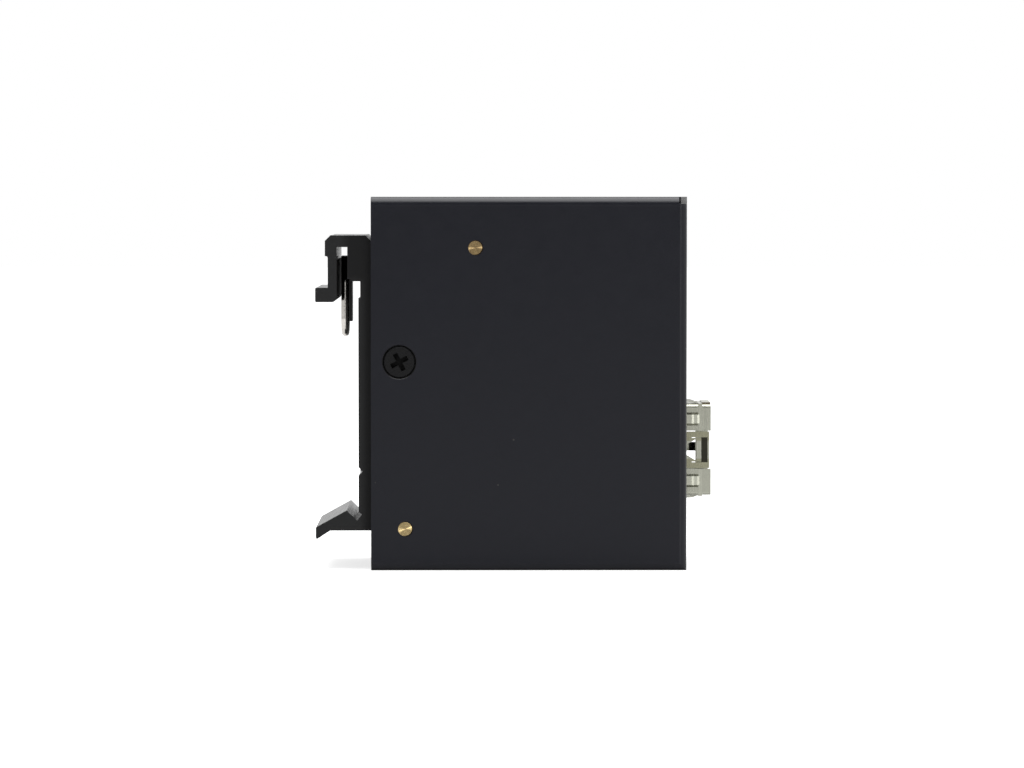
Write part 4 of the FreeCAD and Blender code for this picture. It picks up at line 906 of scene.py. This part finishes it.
@dataclass
class Ports:
    """The module cage, the jack, the power header and the lamps."""

    nickel: ClassVar[Colour] = (0.485, 0.49, 0.412)
    tongue_tint: ClassVar[Colour] = (0.33, 0.32, 0.21)
    tongue_low: ClassVar[Patch] = Patch(((10.0, -6.95, 15.45), (28.6, -6.5, 17.0)), tongue_tint, share=0.8)
    tongue_high: ClassVar[Patch] = Patch(((10.0, -6.95, 19.8), (28.6, -6.5, 21.35)), tongue_tint, share=0.8)
    # Painted shade: the cage's inner far wall behind the slot by the mouth is darkened, and its surface made
    # rougher.
    slot_back_painted_shade: ClassVar[Patch] = Patch(((27.5, 2.55, 15.5), (28.7, 2.75, 20.7)),
                                       (0.085, 0.082, 0.064), roughness=0.7)
    lap_edge: ClassVar[Patch] = Patch(((20.0, -6.0, 25.55), (28.6, -5.75, 26.2)), (0.20, 0.16, 0.10))
    cage: DrawnMetal = DrawnMetal("cage_metal", nickel, roughness=0.24, grain=Grain.ALONG_Z, line_scale=70.0,
                                  patches=(tongue_low, tongue_high, slot_back_painted_shade, lap_edge))
    collar: DrawnMetal = DrawnMetal("collar_metal", nickel, roughness=0.19, grain=Grain.ALONG_Z,
                                    line_scale=70.0)
    shield: DrawnMetal = DrawnMetal("shield_metal", (0.64, 0.64, 0.62), roughness=0.3, grain=Grain.ALONG_X,
                                    line_scale=70.0)
    black: MouldedPlastic = MouldedPlastic("connector_plastic", (0.018, 0.018, 0.019))
    green: MouldedPlastic = MouldedPlastic("header_plastic", (0.030, 0.19, 0.060))
    gold: DrawnMetal = DrawnMetal("gold_contact", (0.86, 0.62, 0.25), roughness=0.22, line_scale=3000.0)
    tin: DrawnMetal = DrawnMetal("pin_tin", (0.70, 0.69, 0.66), roughness=0.28, line_scale=3000.0)
    clear: ClearPlastic = ClearPlastic("light_pipe", (0.84, 0.86, 0.85))
    resin: ClearPlastic = ClearPlastic("lamp_body", (0.85, 0.82, 0.70), roughness=0.2, clearness=0.3)
    tab_path: ClassVar[StripPath] = ((0.0, 0.06), (-0.5, 0.16), (-2.4, 0.16), (-4.0, 0.06))
    tab_width: float = 2.4
    tab_sheet: float = 0.12
    tab_count: int = 3
    tab_pitch: float = 3.6
    tab_setback: float = 0.15

    def jack_tabs(self, finish: bpy.types.Material) -> None:
        """Lays the spring tabs that ground the jack's shield, above and below it.

        Args:
            finish: Metal of the shield.
        """
        low, high = (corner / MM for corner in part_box("jack_shield"))
        first = (low.y + high.y - (self.tab_count - 1) * self.tab_pitch) / 2
        front = high.x - self.tab_setback
        step = (0.0, self.tab_pitch, 0.0)
        rows = (
            Row((front, first, high.z), step, self.tab_count, (math.pi / 2, 0.0, 0.0)),
            Row((front, first, low.z), step, self.tab_count, (-math.pi / 2, 0.0, 0.0)),
        )
        shape = strip_mesh("jack_tab", self.tab_path, self.tab_width, self.tab_sheet)
        RowTree("jack_shield_tabs", rows, finish).grow(shape)

    def dress(self) -> None:
        """Gives each piece its finish and lays the jack's spring tabs."""
        cage = self.cage.material()
        black = self.black.material()
        gold = self.gold.material()
        shield = self.shield.material()
        dress("sfp_cage", cage)
        dress("sfp_emi_collar", self.collar.material())
        dress("jack_shield", shield)
        self.jack_tabs(shield)
        for node in ("sfp_connector", "jack_housing"):
            dress(node, black)
        for node in ("sfp_contacts", "jack_contacts"):
            dress(node, gold)
        dress("power_header", self.green.material())
        dress("power_pins", self.tin.material())
        clear = self.clear.material()
        resin = self.resin.material()
        for number in (1, 2, 3):
            dress(f"light_pipe_{number}", clear)
            dress(f"status_led_{number}", resin)


@dataclass
class BoardGroup:
    """The board and the packages on it."""

    laminate: BoardLaminate = BoardLaminate("board_laminate", (0.012, 0.085, 0.035))
    epoxy: MouldedPlastic = MouldedPlastic("chip_plastic", (0.018, 0.018, 0.018), roughness=0.5)
    can: DrawnMetal = DrawnMetal("can_aluminium", (0.78, 0.78, 0.79), roughness=0.25, line_scale=1500.0)
    crystal_can: DrawnMetal = DrawnMetal("crystal_steel", (0.66, 0.65, 0.62), roughness=0.24,
                                         line_scale=1500.0)
    fuse: MouldedPlastic = MouldedPlastic("fuse_body", (0.05, 0.17, 0.07))
    ceramic: MouldedPlastic = MouldedPlastic("passive_ceramic", (0.035, 0.032, 0.030), roughness=0.4)
    solder: DrawnMetal = DrawnMetal("lead_tin", (0.68, 0.67, 0.64), roughness=0.3, line_scale=3000.0)
    lead_path: ClassVar[StripPath] = ((-0.2, 0.9), (0.2, 0.9), (0.28, 0.07), (0.5, 0.07))
    wide_lead_path: ClassVar[StripPath] = ((-0.2, 0.8), (0.25, 0.8), (0.4, 0.07), (0.95, 0.07))
    pad_path: ClassVar[StripPath] = ((-0.1, 0.11), (0.05, 0.11), (0.12, 0.09))
    lead_width: float = 0.42
    lead_sheet: float = 0.14
    lead_pitch: float = 1.27
    transformer_side: int = 8
    regulator_side: int = 4
    pad_width: float = 0.3
    pad_height: float = 0.2
    pad_pitch: float = 0.65
    pad_side: int = 12
    body_bevel: float = 0.04
    end_bevel: float = 0.05
    passive_body: ClassVar[tuple[Box, ...]] = (((-0.78, 0.0, -0.4), (0.78, 0.5, 0.4)),)
    passive_ends: ClassVar[tuple[Box, ...]] = (
        ((-0.8, 0.0, -0.42), (-0.5, 0.52, 0.42)),
        ((0.5, 0.0, -0.42), (0.8, 0.52, 0.42)),
    )
    passive_rows: ClassVar[tuple[tuple[Point, Point, int], ...]] = (
        ((-20.3, 0.0, 35.8), (0.0, 0.0, 2.2), 3),
        ((-9.5, 0.0, 28.6), (2.3, 0.0, 0.0), 5),
        ((-12.0, 0.0, 5.0), (2.4, 0.0, 0.0), 12),
        ((-11.0, 0.0, 7.5), (2.4, 0.0, 0.0), 11),
    )

    def face(self) -> float:
        """Height of the board's populated face along Y, in millimetres."""
        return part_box("circuit_board")[1].y / MM

    def side_rows(self, node: str, axis: str, count: int, pitch: float) -> tuple[Row, Row]:
        """Two rows of leads on opposite sides of a package.

        Args:
            node: Name of the package's node.
            axis: Axis that the leads point along, X or Z.
            count: Leads on each side.
            pitch: Step between leads in millimetres.

        Returns:
            The row on the low side and the row on the high side.
        """
        low, high = (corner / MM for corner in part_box(node))
        middle = (low + high) / 2
        half = (count - 1) * pitch / 2
        if axis == "X":
            step = (0.0, 0.0, pitch)
            places = ((low.x, middle.z - half, math.pi), (high.x, middle.z - half, 0.0))
        else:
            step = (pitch, 0.0, 0.0)
            places = ((middle.x - half, low.z, math.pi / 2), (middle.x - half, high.z, -math.pi / 2))
        return tuple(Row((x, self.face(), z), step, count, (0.0, turn, 0.0)) for x, z, turn in places)

    def leads(self) -> None:
        """Lays the leads of the packages and the pads of the converter chip."""
        tin = self.solder.material()
        lead = strip_mesh("lead", self.lead_path, self.lead_width, self.lead_sheet)
        wide = strip_mesh("wide_lead", self.wide_lead_path, self.lead_width, self.lead_sheet)
        pad = strip_mesh("pad", self.pad_path, self.pad_width, self.pad_height)
        transformer = self.side_rows("lan_transformer", "X", self.transformer_side, self.lead_pitch)
        RowTree("transformer_leads", transformer, tin).grow(lead)
        regulator = self.side_rows("regulator_chip", "Z", self.regulator_side, self.lead_pitch)
        RowTree("regulator_leads", regulator, tin).grow(wide)
        pads = (*self.side_rows("converter_chip", "X", self.pad_side, self.pad_pitch),
                *self.side_rows("converter_chip", "Z", self.pad_side, self.pad_pitch))
        RowTree("converter_pads", pads, tin).grow(pad)
        rows = tuple(Row((start[0], self.face(), start[2]), step, count, quarter_seed=number)
                     for number, (start, step, count) in enumerate(self.passive_rows, start=1))
        body = block_mesh("passive_body", self.passive_body, self.body_bevel)
        ends = block_mesh("passive_ends", self.passive_ends, self.end_bevel)
        RowTree("passive_bodies", rows, self.ceramic.material()).grow(body)
        RowTree("passive_end_caps", rows, tin).grow(ends)

    def dress(self) -> None:
        """Gives each piece its finish and lays the small parts on the board."""
        self.leads()
        dress("circuit_board", self.laminate.material())
        epoxy = self.epoxy.material()
        for node in ("lan_transformer", "converter_chip", "regulator_chip"):
            dress(node, epoxy)
        for node in ("power_inductor", "input_diode"):
            dress(node, epoxy)
        dress("crystal", self.crystal_can.material())
        dress("bulk_capacitor", self.can.material())
        dress("input_fuse", self.fuse.material())


@dataclass
class Studio:
    """White studio: floor, soft lamps, world and camera."""

    camera_place: Point = (-7.6 * MM, -714.0 * MM, 58.0 * MM)
    camera_aim: Point = (-2.634 * MM, -14.0 * MM, 29.014 * MM)
    focal_length: float = 158.98
    sensor: float = 36.0
    near_clip: float = 0.01
    far_clip: float = 50.0
    floor_half: float = 3.0
    floor_colour: Colour = (0.5, 0.5, 0.5)
    floor_seen: float = 0.75
    floor_mirrored: float = 0.05
    top_place: Point = (0.0, -0.2, 1.0)
    top_size: tuple[float, float] = (1.1, 1.5)
    top_power: float = 16.4
    side_place: Point = (0.5, -1.12, 0.07)
    side_size: tuple[float, float] = (0.34, 0.16)
    side_power: float = 0.7
    room_dark: float = 0.1
    room_dark_until: float = -0.94
    room_pale_from: float = -0.6
    room_pale: float = 0.9

    def build(self) -> None:
        """Makes the stage, the lights and the camera."""
        self.floor()
        self.lamps()
        self.world()
        self.camera()

    def floor(self) -> None:
        """Pale floor that the camera sees as white, with the object's shadow on it."""
        mesh = bpy.data.meshes.new("floor")
        half = self.floor_half
        corners = [(-half, -half, 0.0), (half, -half, 0.0), (half, half, 0.0), (-half, half, 0.0)]
        mesh.from_pydata(corners, [], [(0, 1, 2, 3)])
        plane = bpy.data.objects.new("floor", mesh)
        bpy.context.scene.collection.objects.link(plane)
        material = bpy.data.materials.new("floor_white")
        material.use_nodes = True
        tree = material.node_tree
        tree.nodes.clear()
        output = tree.nodes.new("ShaderNodeOutputMaterial")
        diffuse = tree.nodes.new("ShaderNodeBsdfDiffuse")
        diffuse.inputs["Color"].default_value = (*self.floor_colour, 1.0)
        glow = tree.nodes.new("ShaderNodeEmission")
        rays = tree.nodes.new("ShaderNodeLightPath")
        strength: Optional[Socket] = None
        for ray, share in (("Is Camera Ray", self.floor_seen), ("Is Glossy Ray", self.floor_mirrored),
                           ("Is Transmission Ray", self.floor_mirrored)):
            part = tree.nodes.new("ShaderNodeMath")
            part.operation = "MULTIPLY_ADD"
            part.inputs[1].default_value = share
            part.inputs[2].default_value = 0.0
            tree.links.new(rays.outputs[ray], part.inputs[0])
            if strength is not None:
                tree.links.new(strength, part.inputs[2])
            strength = part.outputs[0]
        tree.links.new(strength, glow.inputs["Strength"])
        both = tree.nodes.new("ShaderNodeAddShader")
        tree.links.new(diffuse.outputs[0], both.inputs[0])
        tree.links.new(glow.outputs[0], both.inputs[1])
        tree.links.new(both.outputs[0], output.inputs["Surface"])
        mesh.materials.append(material)

    def lamps(self) -> None:
        """A large soft box overhead and a small one in front, to the right."""
        self.soft_box("top_box", self.top_place, self.top_size, self.top_power)
        side = self.soft_box("side_box", self.side_place, self.side_size, self.side_power)
        facing = Vector(self.camera_aim) - Vector(self.side_place)
        side.rotation_euler = facing.to_track_quat("-Z", "Y").to_euler()

    def soft_box(self, name: str, place: Point, size: tuple[float, float],
                 power: float) -> bpy.types.Object:
        """Makes one rectangular lamp that faces down.

        Args:
            name: Name of the lamp.
            place: Its centre.
            size: Width and height.
            power: Power in watts.

        Returns:
            The lamp's object.
        """
        lamp = bpy.data.lights.new(name, "AREA")
        lamp.shape = "RECTANGLE"
        lamp.size, lamp.size_y = size
        lamp.energy = power
        box = bpy.data.objects.new(name, lamp)
        box.location = place
        bpy.context.scene.collection.objects.link(box)
        return box

    def world(self) -> None:
        """White for camera rays, and for all others a pale room whose -Y end is dark."""
        world = bpy.data.worlds.new("studio")
        bpy.context.scene.world = world
        world.use_nodes = True
        tree = world.node_tree
        tree.nodes.clear()
        output = tree.nodes.new("ShaderNodeOutputWorld")
        rays = tree.nodes.new("ShaderNodeLightPath")
        coordinate = tree.nodes.new("ShaderNodeTexCoord")
        split = tree.nodes.new("ShaderNodeSeparateXYZ")
        tree.links.new(coordinate.outputs["Generated"], split.inputs["Vector"])
        level = tree.nodes.new("ShaderNodeMapRange")
        level.inputs["From Min"].default_value = self.room_dark_until
        level.inputs["From Max"].default_value = self.room_pale_from
        level.inputs["To Min"].default_value = self.room_dark
        level.inputs["To Max"].default_value = self.room_pale
        tree.links.new(split.outputs["Y"], level.inputs["Value"])
        room = tree.nodes.new("ShaderNodeBackground")
        tree.links.new(level.outputs["Result"], room.inputs["Strength"])
        white = tree.nodes.new("ShaderNodeBackground")
        for light in (room, white):
            light.inputs["Color"].default_value = (1.0, 1.0, 1.0, 1.0)
        white.inputs["Strength"].default_value = 1.0
        mix = tree.nodes.new("ShaderNodeMixShader")
        tree.links.new(rays.outputs["Is Camera Ray"], mix.inputs["Fac"])
        tree.links.new(room.outputs[0], mix.inputs[1])
        tree.links.new(white.outputs[0], mix.inputs[2])
        tree.links.new(mix.outputs[0], output.inputs["Surface"])

    def camera(self) -> None:
        """Camera at the photograph's angle."""
        lens = bpy.data.cameras.new("camera")
        lens.lens = self.focal_length
        lens.sensor_width = self.sensor
        lens.clip_start = self.near_clip
        lens.clip_end = self.far_clip
        eye = bpy.data.objects.new("camera", lens)
        eye.location = self.camera_place
        aim = Vector(self.camera_aim) - Vector(self.camera_place)
        eye.rotation_euler = aim.to_track_quat("-Z", "Y").to_euler()
        bpy.context.scene.collection.objects.link(eye)
        bpy.context.scene.camera = eye


def main() -> None:
    """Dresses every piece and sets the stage."""
    logging.basicConfig(level=logging.INFO, format="%(name)s: %(message)s")
    bpy.context.scene.view_settings.view_transform = "Standard"
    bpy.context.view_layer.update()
    for group in (CaseShell(), Fixings(), RailClip(), Ports(), BoardGroup()):
        group.dress()
    Studio().build()


if __name__ == "__main__":
    main()
